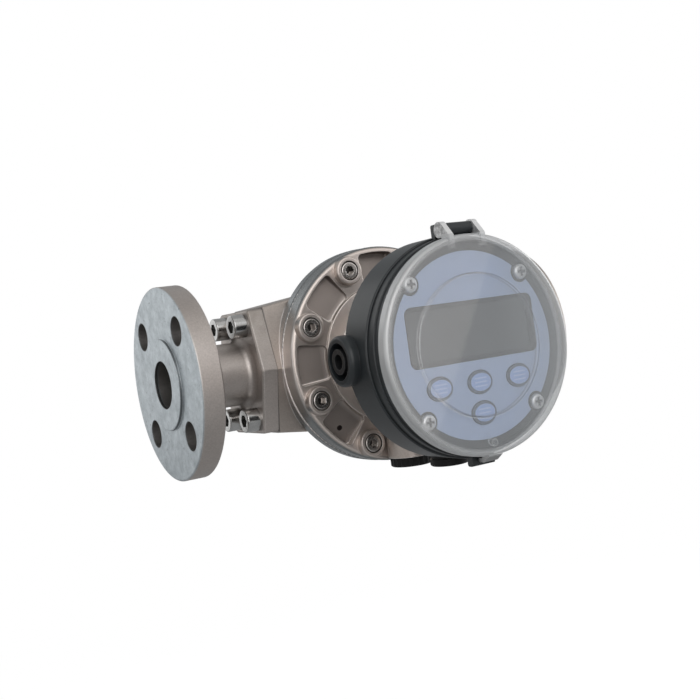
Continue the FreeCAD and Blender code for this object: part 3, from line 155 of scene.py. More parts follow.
def flag(name, corners, grey):
    """A grey card that only glossy surfaces see."""
    card, tree = blank(name)
    glow = add(tree, "ShaderNodeEmission", {"Color": grey + (1.0,), "Strength": 1.0}).outputs[0]
    add(tree, "ShaderNodeOutputMaterial", {"Surface": glow})
    sheet = stage_sheet(name, corners, card)
    sheet.visible_camera = False
    sheet.visible_diffuse = False
    sheet.visible_transmission = False
    sheet.visible_shadow = False


FLAG_LEFT_X = -2.4
FLAG_RIGHT_X = 2.6
FLAG_FRONT_Y = -1.3
FLAG_BACK_Y = 1.3
FLAG_LOW_Z = -0.28
FLAG_HIGH_Z = 0.55
BACK_FLAG_LEFT_X = 0.05
LOWER_FLAG_HALF_Y = 2.4
ROOF_Z = 1.1
ROOF_EDGE_Y = -0.1
FLAG_FOOT_TO_X = 0.81
FLAG_HEAD_TO_X = 1.26


def upright_corners(y, foot, head, low, high):
    """The corners of an upright sheet, from the left and right of its foot and of its head."""
    return [(foot[0], y, low), (foot[1], y, low), (head[1], y, high), (head[0], y, high)]


flag("front_flag",
     upright_corners(FLAG_FRONT_Y, (FLAG_LEFT_X, FLAG_FOOT_TO_X), (FLAG_LEFT_X, FLAG_HEAD_TO_X),
                     FLAG_LOW_Z, FLAG_HIGH_Z), grey=(0.80, 0.78, 0.77))
flag("side_flag",
     upright_corners(FLAG_FRONT_Y, (FLAG_FOOT_TO_X, FLAG_RIGHT_X), (FLAG_HEAD_TO_X, FLAG_RIGHT_X),
                     FLAG_LOW_Z, FLAG_HIGH_Z), grey=(0.42, 0.44, 0.46))
flag("lower_flag",
     level_corners(FLAG_LEFT_X, FLAG_RIGHT_X, -LOWER_FLAG_HALF_Y, LOWER_FLAG_HALF_Y, FLAG_LOW_Z),
     grey=(0.33, 0.335, 0.34))
flag("back_flag",
     upright_corners(FLAG_BACK_Y, (BACK_FLAG_LEFT_X, FLAG_RIGHT_X), (BACK_FLAG_LEFT_X, FLAG_RIGHT_X),
                     FLAG_LOW_Z, ROOF_Z), grey=(0.34, 0.355, 0.365))
flag("front_roof_flag", level_corners(FLAG_LEFT_X, FLAG_RIGHT_X, FLAG_FRONT_Y, ROOF_EDGE_Y, ROOF_Z),
     grey=(0.70, 0.69, 0.68))
flag("rear_roof_flag", level_corners(FLAG_LEFT_X, FLAG_RIGHT_X, ROOF_EDGE_Y, FLAG_BACK_Y, ROOF_Z),
     grey=(0.42, 0.42, 0.42))


def lamp(name, stand, wide, tall, watts):
    """A soft box that looks at the meter, and that the camera doesn't see."""
    light = bpy.data.lights.new(name, "AREA")
    light.shape = "RECTANGLE"
    light.size = wide
    light.size_y = tall
    light.energy = watts
    box = bpy.data.objects.new(name, light)
    box.location = stand
    box.rotation_euler = (Vector(METER_MIDDLE) - Vector(stand)).to_track_quat("-Z", "Y").to_euler()
    box.visible_camera = False
    bpy.context.scene.collection.objects.link(box)


lamp("high_lamp", (-0.30, -1.10, 0.90), wide=1.4, tall=1.2, watts=4.5)
lamp("front_lamp", (-0.28, -1.25, 0.25), wide=1.0, tall=0.7, watts=3.5)
lamp("right_lamp", (1.30, -0.35, 0.25), wide=0.7, tall=0.7, watts=2.5)

FILL_LIGHT = 0.66
world = bpy.data.worlds.new("studio")
bpy.context.scene.world = world
world.use_nodes = True
tree = world.node_tree
tree.nodes.clear()
fill = add(tree, "ShaderNodeBackground", {"Color": WHITE, "Strength": FILL_LIGHT}).outputs[0]
paper_white = add(tree, "ShaderNodeBackground", {"Color": WHITE, "Strength": 1.0}).outputs[0]
add(tree, "ShaderNodeOutputWorld", {"Surface": mixed(tree, seen_directly(tree), fill, paper_white)})

# Meter body and cap: stainless castings, blasted to an even warm grey.
# The joint faces are turned, so the ring's edge is a smoother metal; its sides carry a painted highlight,
# and its top and foot a cooler, darker painted shade.
# The body is cast with a hexagonal boss on each side, and eight screws hold the cap on it.
PIPE_MIDDLE_X = 0.1225
DISPLAY_AXIS = (PIPE_MIDDLE_X, 0.0)
FLOAT = "NodeSocketFloat"
CLOUD_BAND = (0.3, 0.7)
SPECK_SCALE = 1100.0
SPECK_BAND = (0.35, 0.65)
EDGE_SAMPLES = 6
EDGE_BAND = (0.97, 0.55)
CREVICE_BAND = (0.85, 0.20)


def step(tree, value, low, high):
    """0 at one limit and 1 at another, which may be lower. The pairs of values are such limits."""
    inputs = {"Value": value, "From Min": low, "From Max": high}
    return add(tree, "ShaderNodeMapRange", inputs).outputs[0]


def effect(name, inputs, outputs):
    """A node group for an effect that several finishes share, and the values given to it."""
    made = bpy.data.node_groups.new(name, "ShaderNodeTree")
    for title, value in inputs.items():
        made.interface.new_socket(name=title, in_out="INPUT", socket_type=FLOAT).default_value = value
    for title, kind in outputs.items():
        made.interface.new_socket(name=title, in_out="OUTPUT", socket_type=kind)
    return made, made.nodes.new("NodeGroupInput").outputs


surface_grain, given = effect("surface_grain", {"Cloud Scale": 40.0, "Grain Scale": 3000.0},
                              {"Clouds": FLOAT, "Grain": FLOAT, "Specks": FLOAT})
clouds = noise(surface_grain, scale=given["Cloud Scale"], detail=5.0, Roughness=0.6)
grains = noise(surface_grain, scale=given["Grain Scale"], detail=2.0)
specks = noise(surface_grain, scale=SPECK_SCALE, detail=3.0, Roughness=0.7)
add(surface_grain, "NodeGroupOutput", {"Clouds": step(surface_grain, clouds, *CLOUD_BAND), "Grain": grains,
                                       "Specks": step(surface_grain, specks, *SPECK_BAND)})

# Edge marks worn edges, where a painted highlight also goes; Crevice marks hollows for painted shade;
# Normal rounds the edges.
worn_edges, given = effect("worn_edges", {"Width": 0.0006, "Crevice Reach": 0.006},
                           {"Edge": FLOAT, "Crevice": FLOAT, "Normal": "NodeSocketVector"})
softened = add(worn_edges, "ShaderNodeBevel", {"Radius": given["Width"]}, samples=EDGE_SAMPLES)
thin = add(worn_edges, "ShaderNodeAmbientOcclusion", {"Distance": given["Width"]},
           samples=EDGE_SAMPLES, inside=True, only_local=True)
hollow = add(worn_edges, "ShaderNodeAmbientOcclusion", {"Distance": given["Crevice Reach"]},
             samples=EDGE_SAMPLES)
add(worn_edges, "NodeGroupOutput", {"Edge": step(worn_edges, thin.outputs["AO"], *EDGE_BAND),
                                    "Crevice": step(worn_edges, hollow.outputs["AO"], *CREVICE_BAND),
                                    "Normal": softened.outputs[0]})


def finish(name, **fixed):
    """A new material with one shader, whose plain values are given with _ for a space."""
    material, tree = blank(name)
    shader = add(tree, "ShaderNodeBsdfPrincipled")
    for title, value in fixed.items():
        shader.inputs[title.replace("_", " ")].default_value = value
    add(tree, "ShaderNodeOutputMaterial", {"Surface": shader.outputs[0]})
    return material, tree, shader


def group(tree, node_tree, **values):
    """What a shared effect puts out, placed in a material with its own values."""
    node = tree.nodes.new("ShaderNodeGroup")
    node.node_tree = node_tree
    for title, value in values.items():
        node.inputs[title.replace("_", " ")].default_value = value
    return node.outputs


def tint(tree, share, first, second):
    """A colour between two others."""
    mix = tree.nodes.new("ShaderNodeMix")
    mix.data_type = "RGBA"
    for index, value in ((0, share), (6, first), (7, second)):
        if isinstance(value, bpy.types.NodeSocket):
            tree.links.new(value, mix.inputs[index])
        else:
            mix.inputs[index].default_value = value if index == 0 else tuple(value) + (1.0,)
    return mix.outputs[2]


def times(tree, product, *values):
    """Masks or values multiplied together. Masks then hold only where all of them do."""
    for value in values:
        product = maths(tree, "MULTIPLY", product, value)
    return product


def shade(tree, shader, colour, rough, height, depth, normal):
    """Join a colour, a roughness and a bumped normal to a shader."""
    tree.links.new(colour, shader.inputs["Base Color"])
    tree.links.new(rough, shader.inputs["Roughness"])
    bump = add(tree, "ShaderNodeBump",
               {"Height": height, "Distance": depth, "Strength": 1.0, "Normal": normal})
    tree.links.new(bump.outputs[0], shader.inputs["Normal"])


def repaint(tree, shader, share, colour, rough=None):
    """Change a shader's colour, and perhaps its roughness, by a mask."""
    before = shader.inputs["Base Color"].links[0].from_socket
    tree.links.new(tint(tree, share, before, colour), shader.inputs["Base Color"])
    if rough is not None:
        before = shader.inputs["Roughness"].links[0].from_socket
        changed = add(tree, "ShaderNodeMix", {0: share, 2: before, 3: rough})
        tree.links.new(changed.outputs[0], shader.inputs["Roughness"])


def coordinate(tree, axis):
    """One coordinate of a point."""
    return add(tree, "ShaderNodeSeparateXYZ", {0: place(tree)}).outputs[axis]


def facing(tree, axis):
    """How far a surface faces along an axis, from -1 to 1."""
    normal = add(tree, "ShaderNodeTexCoord").outputs["Normal"]
    return add(tree, "ShaderNodeSeparateXYZ", {0: normal}).outputs[axis]


def less(tree, value, middle):
    """A coordinate counted from a middle."""
    return maths(tree, "SUBTRACT", value, middle)


def distance(tree, value):
    """The size of a coordinate, whatever its sign."""
    return maths(tree, "ABSOLUTE", value)


def from_middle(tree):
    """How far along the pipe a point is from the middle of the meter."""
    return distance(tree, less(tree, coordinate(tree, "X"), PIPE_MIDDLE_X))


def from_axis(tree, x, z):
    """How far a point is from a line that runs straight back at x and z."""
    flat = vectors(tree, "MULTIPLY", place(tree), (1.0, 0.0, 1.0))
    return vectors(tree, "DISTANCE", flat, (x, 0.0, z))


def wear(material, *nodes):
    """Give CAD nodes their material."""
    for node in nodes:
        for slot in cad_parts[node].material_slots:
            slot.material = material


METAL_ROUGH_SPREAD = 0.06
METAL_SPECK_SHADE = 0.6
METAL_EDGE_SHARE = 0.85


def metal(name, light, dark, edge, grime, rough, grain, depth, cloud=40.0, width=0.0006, reach=0.006,
          mirror=1.0, specks=0.22, dirt=0.7):
    """A metal with clouded tone, edges paler from wear and a painted highlight, and a painted shade that
    darkens its hollows. A blasted one mirrors less.
    """
    material, tree, shader = finish(name, Metallic=mirror)
    skin = group(tree, surface_grain, Cloud_Scale=cloud, Grain_Scale=grain)
    edges = group(tree, worn_edges, Width=width, Crevice_Reach=reach)
    speck = tuple(value * METAL_SPECK_SHADE for value in dark)
    colour = tint(tree, skin["Clouds"], light, dark)
    colour = tint(tree, times(tree, skin["Specks"], specks), colour, speck)
    # Painted shade: hollows and corners are darkened towards the hollow shade colour.
    colour = tint(tree, times(tree, edges["Crevice"], dirt), colour, grime)
    # Worn edges, with a painted highlight along them, are paler.
    colour = tint(tree, times(tree, edges["Edge"], METAL_EDGE_SHARE), colour, edge)
    roughness = spread(tree, skin["Grain"], rough - METAL_ROUGH_SPREAD, rough + METAL_ROUGH_SPREAD)
    shade(tree, shader, colour, roughness, skin["Grain"], depth, edges["Normal"])
    return material, tree, shader


# Painted highlight on a rim's sides and painted shade on its top and foot, set by which way the surface
# faces.
TURNED_PALE = (0.80, 0.745, 0.715)
TURNED_SHARE = 0.8
TURNED_SIDES = (0.45, 0.14)
TURNED_ENDS = (0.16, 0.50)


def turned_rim(tree, shader, rim, dark, rough):
    """A rim with a painted highlight at its sides, and a painted shade, smoother and a darker grey, at its
    top and foot.
    """
    steep = distance(tree, facing(tree, "Z"))
    repaint(tree, shader, times(tree, rim, step(tree, steep, *TURNED_SIDES), TURNED_SHARE), TURNED_PALE)
    repaint(tree, shader, times(tree, rim, step(tree, steep, *TURNED_ENDS)), dark, rough)


CAST_EDGE = (0.88, 0.85, 0.82)
CAST = {"light": (0.505, 0.449, 0.410), "dark": (0.435, 0.383, 0.347), "edge": CAST_EDGE,
        "grime": (0.150, 0.131, 0.119), "rough": 0.34, "grain": 3200.0, "depth": 0.00008}
BLASTED = {"width": 0.0005, "mirror": 0.82, "specks": 0.36, "dirt": 0.42}
RING_FROM_R = (0.0606, 0.0610)
RING_TO_R = (0.0625, 0.0622)
RING_FROM_Y = (-0.0196, -0.0200)
RING_SLATE = (0.230, 0.243, 0.250)
RING_ROUGH = 0.22
body_steel, tree, shader = metal("body_steel", **CAST, **BLASTED)
out = from_axis(tree, *DISPLAY_AXIS)
ring = times(tree, step(tree, out, *RING_FROM_R), step(tree, out, *RING_TO_R),
             step(tree, coordinate(tree, "Y"), *RING_FROM_Y))
turned_rim(tree, shader, ring, RING_SLATE, RING_ROUGH)
SEAM_X = 0.066
SEAM_WIDE = 0.0006
SEAM_SHARP = 0.0003
SEAM_DARK = (0.11, 0.098, 0.09)
SEAM_SHARE = 0.75
# Painted shade in the seam where the flange plate meets the body.
seam = step(tree, from_middle(tree), SEAM_X - SEAM_WIDE, SEAM_X - SEAM_SHARP)
repaint(tree, shader, times(tree, seam, SEAM_SHARE), SEAM_DARK)
wear(body_steel, "meter_body")

FORWARD = (-0.80, -0.97)
UPWARD = (0.25, 0.5)
CAP_FRONT = (0.860, 0.770, 0.720)
CAP_FRONT_SHARE = 0.6
CAP_EDGE_R = (0.0605, 0.0609)
CAP_TURNED = (0.216, 0.227, 0.230)
CAP_TURNED_ROUGH = 0.26
POCKET_FROM_R = (0.0400, 0.0404)
POCKET_TO_R = (0.0597, 0.0592)
POCKET_FLOOR_Y = (-0.0393, -0.0372)
POCKET_FLOOR = (0.190, 0.164, 0.150)
POCKET_FLOOR_ROUGH = 0.52
POCKET_WALL_Y = (-0.0396, -0.0393)
POCKET_WALL = (0.95, 0.88, 0.83)
POCKET_WALL_ROUGH = 0.30
HUB_R = (0.0400, 0.0394)
HUB_PALE = (1.0, 0.90, 0.84)
CAP_SHARE = 0.9
DRAIN = (PIPE_MIDDLE_X - 0.0357, -0.0378)
DRAIN_R = 0.0014
DRAIN_Y = (-0.0393, -0.0380)
DRAIN_DARK = (0.016, 0.010, 0.009)
DRAIN_ROUGH = 0.6
HOLE_FADE = 0.0002
cap_steel, tree, shader = metal("cap_steel", **CAST, **BLASTED)
out = from_axis(tree, *DISPLAY_AXIS)
back = coordinate(tree, "Y")
# Painted light: faces that look forward are paler.
forward = step(tree, facing(tree, "Y"), *FORWARD)
repaint(tree, shader, times(tree, forward, CAP_FRONT_SHARE), CAP_FRONT)
pocket = times(tree, step(tree, out, *POCKET_FROM_R), step(tree, out, *POCKET_TO_R))
# Painted shade: the sunk pocket floors are darker.
pocket_floor = times(tree, pocket, step(tree, back, *POCKET_FLOOR_Y), CAP_SHARE)
repaint(tree, shader, pocket_floor, POCKET_FLOOR, POCKET_FLOOR_ROUGH)
# Painted highlight: pocket walls that face up are paler.
lower_wall = times(tree, pocket, step(tree, back, *POCKET_WALL_Y),
                   step(tree, facing(tree, "Z"), *UPWARD), CAP_SHARE)
repaint(tree, shader, lower_wall, POCKET_WALL, POCKET_WALL_ROUGH)
turned_rim(tree, shader, step(tree, out, *CAP_EDGE_R), CAP_TURNED, CAP_TURNED_ROUGH)
# Painted light: the forward faces round the hub, inside the pockets, are paler.
repaint(tree, shader, times(tree, step(tree, out, *HUB_R), forward, CAP_SHARE), HUB_PALE)
# Painted shade of a small drain hole in one pocket, which is not cut.
drain = times(tree, step(tree, from_axis(tree, *DRAIN), DRAIN_R + HOLE_FADE, DRAIN_R),
              step(tree, back, *DRAIN_Y))
repaint(tree, shader, drain, DRAIN_DARK, DRAIN_ROUGH)
wear(cap_steel, "meter_cap")

# Flanges: one inch pipe flanges, turned from stainless and pickled, each in one piece with its neck
# and with a plate that four screws hold on the body. The sealing faces keep a cool, clouded machined
# look, and the rims and necks are blasted like the castings.
FLANGE = {"light": (0.530, 0.484, 0.455), "dark": (0.457, 0.414, 0.387), "edge": CAST_EDGE,
          "grime": (0.085, 0.082, 0.080), "rough": 0.38, "grain": 3200.0, "depth": 0.00006,
          "reach": 0.010}
FACE_X = 0.1209
FACE_FROM_X = (FACE_X - 0.0008, FACE_X - 0.0001)
FACE_PALE = (0.560, 0.610, 0.640)
FACE_DARK = (0.345, 0.388, 0.412)
FACE_ROUGH = 0.40
PATCH_BAND = (0.36, 0.64)
PIT_BAND = (0.66, 0.74)
PIT_DARK = (0.15, 0.165, 0.18)
PIT_SHARE = 0.6
RAISED_FROM_X = (FACE_X - 0.0001, FACE_X + 0.0002)
RAISED_SIDE = (0.6, 0.3)
RAISED_WALL = (0.20, 0.21, 0.215)
RAISED_WALL_ROUGH = 0.20
STAIN_BAND = (0.30, 0.62)
STAIN_DARK = (0.225, 0.200, 0.172)
STAIN_SHARE = 0.62
STAIN_FROM_Z = (0.004, 0.030)
PLATE_TO_X = (0.0758, 0.0754)
flange_steel, tree, shader = metal("flange_steel", **FLANGE, **BLASTED)
out = from_middle(tree)
patches = noise(tree, scale=130.0, detail=9.0, Roughness=0.78, Distortion=0.2)
clouded = tint(tree, step(tree, patches, *PATCH_BAND), FACE_PALE, FACE_DARK)
pits = step(tree, noise(tree, scale=420.0, detail=2.0), *PIT_BAND)
pitted = tint(tree, times(tree, pits, PIT_SHARE), clouded, PIT_DARK)
repaint(tree, shader, step(tree, out, *FACE_FROM_X), pitted, FACE_ROUGH)
# Painted shade: the raised face's side wall is darker.
raised_wall = times(tree, step(tree, out, *RAISED_FROM_X),
                    step(tree, distance(tree, facing(tree, "X")), *RAISED_SIDE))
repaint(tree, shader, raised_wall, RAISED_WALL, RAISED_WALL_ROUGH)
# Painted shade: the plates are darker in mottled patches towards their top.
stain = noise(tree, scale=70.0, detail=6.0, Roughness=0.65)
stain = times(tree, step(tree, stain, *STAIN_BAND), step(tree, coordinate(tree, "Z"), *STAIN_FROM_Z),
              step(tree, out, *PLATE_TO_X), STAIN_SHARE)
repaint(tree, shader, stain, STAIN_DARK)
# Painted shade in the same seam, on the plate's side.
seam = step(tree, out, SEAM_X + SEAM_WIDE, SEAM_X + SEAM_SHARP)
repaint(tree, shader, times(tree, seam, SEAM_SHARE), SEAM_DARK)
BORE = (0.0, 0.0, 0.0)
BORE_R = 0.0134
BOLT_HOLE = (0.0, 0.02807, 0.02807)
BOLT_HOLE_R = 0.0081
DISC_FROM_X = (0.1075, 0.1078)
DRILLED = (0.118, 0.122, 0.121)
DRILLED_SHARE = 0.7
# Painted shade inside the bore and the bolt holes.
folded = vectors(tree, "ABSOLUTE", vectors(tree, "MULTIPLY", place(tree), (0.0, 1.0, 1.0)))
for middle, radius in ((BORE, BORE_R), (BOLT_HOLE, BOLT_HOLE_R)):
    from_hole = vectors(tree, "DISTANCE", folded, middle)
    wall = times(tree, step(tree, from_hole, radius + HOLE_FADE, radius),
                 step(tree, out, *DISC_FROM_X), DRILLED_SHARE)
    repaint(tree, shader, wall, DRILLED)
wear(flange_steel, "inlet_flange", "outlet_flange")

# Screws and the hinge pin: bright stainless, bought in.
# Their heads are smooth enough to mirror the pieces beside them.
# The cap's screws are a little duller, and those of the facia have a cross recess.
screw_steel = metal(
    "screw_steel", light=(0.60, 0.60, 0.59), dark=(0.50, 0.50, 0.49), edge=(0.80, 0.80, 0.80),
    grime=(0.07, 0.07, 0.068), rough=0.18, grain=2200.0, depth=0.00002, cloud=220.0, width=0.0003,
    reach=0.004)[0]
wear(screw_steel, "inlet_screws", "outlet_screws", "housing_screws", "hinge_pin")

CAP_SCREW_TOP_Y = -0.0440
CAP_SOCKET_Y = (CAP_SCREW_TOP_Y + 0.0006, CAP_SCREW_TOP_Y + 0.0012)
CAP_SOCKET_DARK = (0.05, 0.045, 0.042)
CAP_SOCKET_SHARE = 0.65
CAP_SOCKET_ROUGH = 0.09
cap_screw_steel, tree, shader = metal(
    "cap_screw_steel", light=(0.80, 0.75, 0.71), dark=(0.64, 0.60, 0.57), edge=(0.95, 0.93, 0.91),
    grime=(0.12, 0.11, 0.10), rough=0.26, grain=2200.0, depth=0.00003, cloud=420.0, width=0.0003,
    reach=0.0012, specks=0.12, dirt=0.5)
# Painted shade deep in the hex sockets.
sunk = times(tree, step(tree, coordinate(tree, "Y"), *CAP_SOCKET_Y), CAP_SOCKET_SHARE)
repaint(tree, shader, sunk, CAP_SOCKET_DARK, CAP_SOCKET_ROUGH)
wear(cap_screw_steel, "cap_screws")

FACIA_SCREW_OFFSET = 0.034
CROSS_HALF_WIDTH = 0.0008
CROSS_HALF = 0.0024
CROSS_FADE = 0.0001
CROSS_DARK = (0.06, 0.06, 0.065)
CROSS_SHARE = 0.62
facia_screw_steel, tree, shader = metal(
    "facia_screw_steel", light=(0.83, 0.84, 0.85), dark=(0.66, 0.67, 0.68), edge=(0.97, 0.97, 0.97),
    grime=(0.04, 0.04, 0.045), rough=0.30, grain=2200.0, depth=0.00002, cloud=420.0, width=0.0003,
    reach=0.0018, mirror=0.75)
# Painted shade in the cross recess of each head.
centred = vectors(tree, "SUBTRACT", place(tree), (PIPE_MIDDLE_X, 0.0, 0.0))
folded = vectors(tree, "ABSOLUTE", centred)
from_screw = vectors(tree, "SUBTRACT", folded, (FACIA_SCREW_OFFSET, 0.0, FACIA_SCREW_OFFSET))
sides = add(tree, "ShaderNodeSeparateXYZ", {0: vectors(tree, "ABSOLUTE", from_screw)}).outputs
for along, across in (("X", "Z"), ("Z", "X")):
    arm = times(tree, step(tree, sides[across], CROSS_HALF_WIDTH + CROSS_FADE, CROSS_HALF_WIDTH),
                step(tree, sides[along], CROSS_HALF + CROSS_FADE, CROSS_HALF), CROSS_SHARE)
    repaint(tree, shader, arm, CROSS_DARK)
wear(facia_screw_steel, "facia_screws")

# Rotors, shafts, bushes and magnets: the measuring parts inside the chamber.
# The rotors are hobbed stainless, the bushes are a dark bearing plastic, and the magnets are plated.
rotor_steel = metal(
    "rotor_steel", light=(0.62, 0.62, 0.61), dark=(0.54, 0.54, 0.53), edge=(0.78, 0.78, 0.77),
    grime=(0.2, 0.2, 0.19), rough=0.26, grain=2600.0, depth=0.00003, cloud=120.0, width=0.0003,
    reach=0.003)[0]
wear(rotor_steel, "upper_rotor", "lower_rotor", "upper_shaft", "lower_shaft")
magnet_metal = metal(
    "magnet_metal", light=(0.66, 0.66, 0.68), dark=(0.58, 0.58, 0.60), edge=(0.8, 0.8, 0.8),
    grime=(0.2, 0.2, 0.2), rough=0.18, grain=3000.0, depth=0.00001, cloud=300.0, width=0.0002,
    reach=0.002)[0]
wear(magnet_metal, "rotor_magnets")

MOULDED_ROUGH_SPREAD = 0.07
MOULDED_EDGE_GAIN = 1.6
MOULDED_EDGE_LEAST = 0.02
MOULDED_CREVICE_REACH = 0.004
MOULDED_CREVICE_SHADE = 0.45
MOULDED_CREVICE_SHARE = 0.6


def moulding(name, light, dark, rough, grain, depth, cloud=60.0, width=0.0004, edge_lift=0.35,
             **fixed):
    """A moulded plastic or rubber with a fine skin, slightly paler edges, and a painted shade that darkens
    its hollows.
    """
    material, tree, shader = finish(name, **fixed)
    skin = group(tree, surface_grain, Cloud_Scale=cloud, Grain_Scale=grain)
    edges = group(tree, worn_edges, Width=width, Crevice_Reach=MOULDED_CREVICE_REACH)
    paler = tuple(min(1.0, value * MOULDED_EDGE_GAIN + MOULDED_EDGE_LEAST) for value in light)
    darker = tuple(value * MOULDED_CREVICE_SHADE for value in dark)
    colour = tint(tree, skin["Clouds"], light, dark)
    colour = tint(tree, times(tree, edges["Edge"], edge_lift), colour, paler)
    # Painted shade in hollows and corners.
    colour = tint(tree, times(tree, edges["Crevice"], MOULDED_CREVICE_SHARE), colour, darker)
    roughness = spread(tree, skin["Grain"], rough - MOULDED_ROUGH_SPREAD,
                       rough + MOULDED_ROUGH_SPREAD)
    shade(tree, shader, colour, roughness, skin["Grain"], depth, edges["Normal"])
    return material, tree, shader


bush_plastic = moulding("bush_plastic", light=(0.05, 0.05, 0.055), dark=(0.035, 0.035, 0.04),
                        rough=0.45, grain=2500.0, depth=0.00003)[0]
wear(bush_plastic, "upper_front_bush", "upper_rear_bush", "lower_front_bush", "lower_rear_bush")

# Seals and gasket: black moulded rubber, pressed in grooves at each joint.
# Only a thin line of any of them could ever be seen.
seal_rubber = moulding("seal_rubber", light=(0.022, 0.022, 0.022), dark=(0.014, 0.014, 0.014),
                       rough=0.62, grain=1800.0, depth=0.00004)[0]
wear(seal_rubber, "cap_seal", "inlet_seal", "outlet_seal", "bezel_seal", "housing_gasket")

# Boards and what stands on them: green lacquered boards with black switches and a sensor.
# The clamp row is green plastic, and the battery lies in a black tray in a printed film.
board_green = moulding("board_green", light=(0.03, 0.16, 0.07), dark=(0.02, 0.12, 0.055),
                       rough=0.3, grain=900.0, depth=0.00002, cloud=500.0)[0]
wear(board_green, "sensor_board", "main_board")
component_black = moulding("component_black", light=(0.02, 0.02, 0.02), dark=(0.012, 0.012, 0.012),
                           rough=0.5, grain=2500.0, depth=0.00003)[0]
wear(component_black, "magnetic_sensor", "key_switches", "battery_holder")
terminal_green = moulding("terminal_green", light=(0.06, 0.30, 0.12), dark=(0.05, 0.26, 0.10),
                          rough=0.42, grain=2500.0, depth=0.00003)[0]
wear(terminal_green, "terminal_block")
battery_wrap = moulding("battery_wrap", light=(0.14, 0.18, 0.23), dark=(0.11, 0.15, 0.20),
                        rough=0.25, grain=700.0, depth=0.00004)[0]
wear(battery_wrap, "battery")

# Display housing and front bezel: dark grey glass filled mouldings with a fine spark texture.
# Four screws from inside hold the housing on the hub, and the bezel plugs into its front.
housing_plastic = moulding(
    "housing_plastic", light=(0.0205, 0.0245, 0.0270), dark=(0.0165, 0.0200, 0.0222), rough=0.34,
    grain=2600.0, depth=0.00001, Specular_IOR_Level=0.42)[0]
wear(housing_plastic, "display_housing", "front_bezel")

# Plugs and cable insert: black mouldings pushed or screwed into the open ports.
# They are blacker than the housing, and the insert's edges are rubbed paler.
plug_plastic = moulding(
    "plug_plastic", light=(0.006, 0.006, 0.006), dark=(0.004, 0.004, 0.004), rough=0.48,
    grain=2200.0, depth=0.00003, edge_lift=0.2, Specular_IOR_Level=0.2)[0]
wear(plug_plastic, "conduit_plug", "lower_plug")
insert_plastic = moulding(
    "insert_plastic", light=(0.012, 0.0125, 0.013), dark=(0.009, 0.0094, 0.0098), rough=0.40,
    grain=2200.0, depth=0.00003, edge_lift=0.9, Specular_IOR_Level=0.4)[0]
wear(insert_plastic, "gland_insert")

# Face label: a printed film in pale blue, stuck on the bezel and cut out for window, keys and screws.
# Its skin is a fine satin.
label_blue = moulding("label_blue", light=(0.306, 0.388, 0.572), dark=(0.289, 0.368, 0.545),
                      rough=0.42, grain=1500.0, depth=0.00001)[0]
wear(label_blue, "face_label")

# Window and display: a clear lens in the bezel, and behind it the grey glass of an unlit display.
# The lens is let in from the front and stands a little proud.
WINDOW_HAZE = (0.18, 0.21)
window_clear, tree, shader = finish("window_clear", Base_Color=(0.046, 0.052, 0.058, 1.0),
                                    Roughness=0.03, IOR=2.0)
skin = group(tree, surface_grain, Cloud_Scale=90.0, Grain_Scale=1500.0)
tree.links.new(spread(tree, skin["Clouds"], *WINDOW_HAZE), shader.inputs["Alpha"])
wear(window_clear, "lcd_window")

LCD_LIGHT = (0.086, 0.094, 0.099)
LCD_DARK = (0.077, 0.084, 0.089)
lcd_grey, tree, shader = finish("lcd_grey", Roughness=0.42)
skin = group(tree, surface_grain, Cloud_Scale=60.0, Grain_Scale=1200.0)
tree.links.new(tint(tree, skin["Clouds"], LCD_LIGHT, LCD_DARK), shader.inputs["Base Color"])
wear(lcd_grey, "lcd_module")

# Keys: soft pale blue caps with a darker rim, which travel through holes in the bezel.
# Each top has three short printed bars in a paler blue.
KEY_PITCH_X = 0.0245
KEY_PITCH_Z = 0.0156
KEY_ROW_Z = -0.0188
KEY_TOP_Y = -0.1252
KEY_RIM_Y = (KEY_TOP_Y - 0.00017, KEY_TOP_Y - 0.0001)
KEY_RIM_DARK = (0.050, 0.072, 0.115)
BAR_PITCH = 0.0020
BAR_HALF = 0.00035
BAR_FADE = 0.0001
BAR_REACH = (0.0038, 0.0035)
BAR_ROWS = (BAR_PITCH * 1.5, BAR_PITCH * 1.5 - 0.0002)
BAR_PALE = (0.76, 0.82, 0.95)
BAR_SHARE = 0.24
key_blue, tree, shader = moulding("key_blue", light=(0.325, 0.460, 0.815), dark=(0.300, 0.432, 0.775),
                                  rough=0.45, grain=1800.0, depth=0.00002)


def wrapped(tree, value, middle, pitch):
    """A coordinate counted from the nearest of a row of middles."""
    return maths(tree, "WRAP", less(tree, value, middle), pitch / 2, -pitch / 2)


across = distance(tree, wrapped(tree, coordinate(tree, "X"), PIPE_MIDDLE_X, KEY_PITCH_X))
height = wrapped(tree, coordinate(tree, "Z"), KEY_ROW_Z, KEY_PITCH_Z)
from_bar = distance(tree, wrapped(tree, height, 0.0, BAR_PITCH))
bars = times(tree, step(tree, from_bar, BAR_HALF + BAR_FADE, BAR_HALF - BAR_FADE),
             step(tree, distance(tree, height), *BAR_ROWS), step(tree, across, *BAR_REACH), BAR_SHARE)
repaint(tree, shader, bars, BAR_PALE)
repaint(tree, shader, step(tree, coordinate(tree, "Y"), *KEY_RIM_Y), KEY_RIM_DARK)
wear(key_blue, "left_key", "centre_key", "right_key", "lower_key")

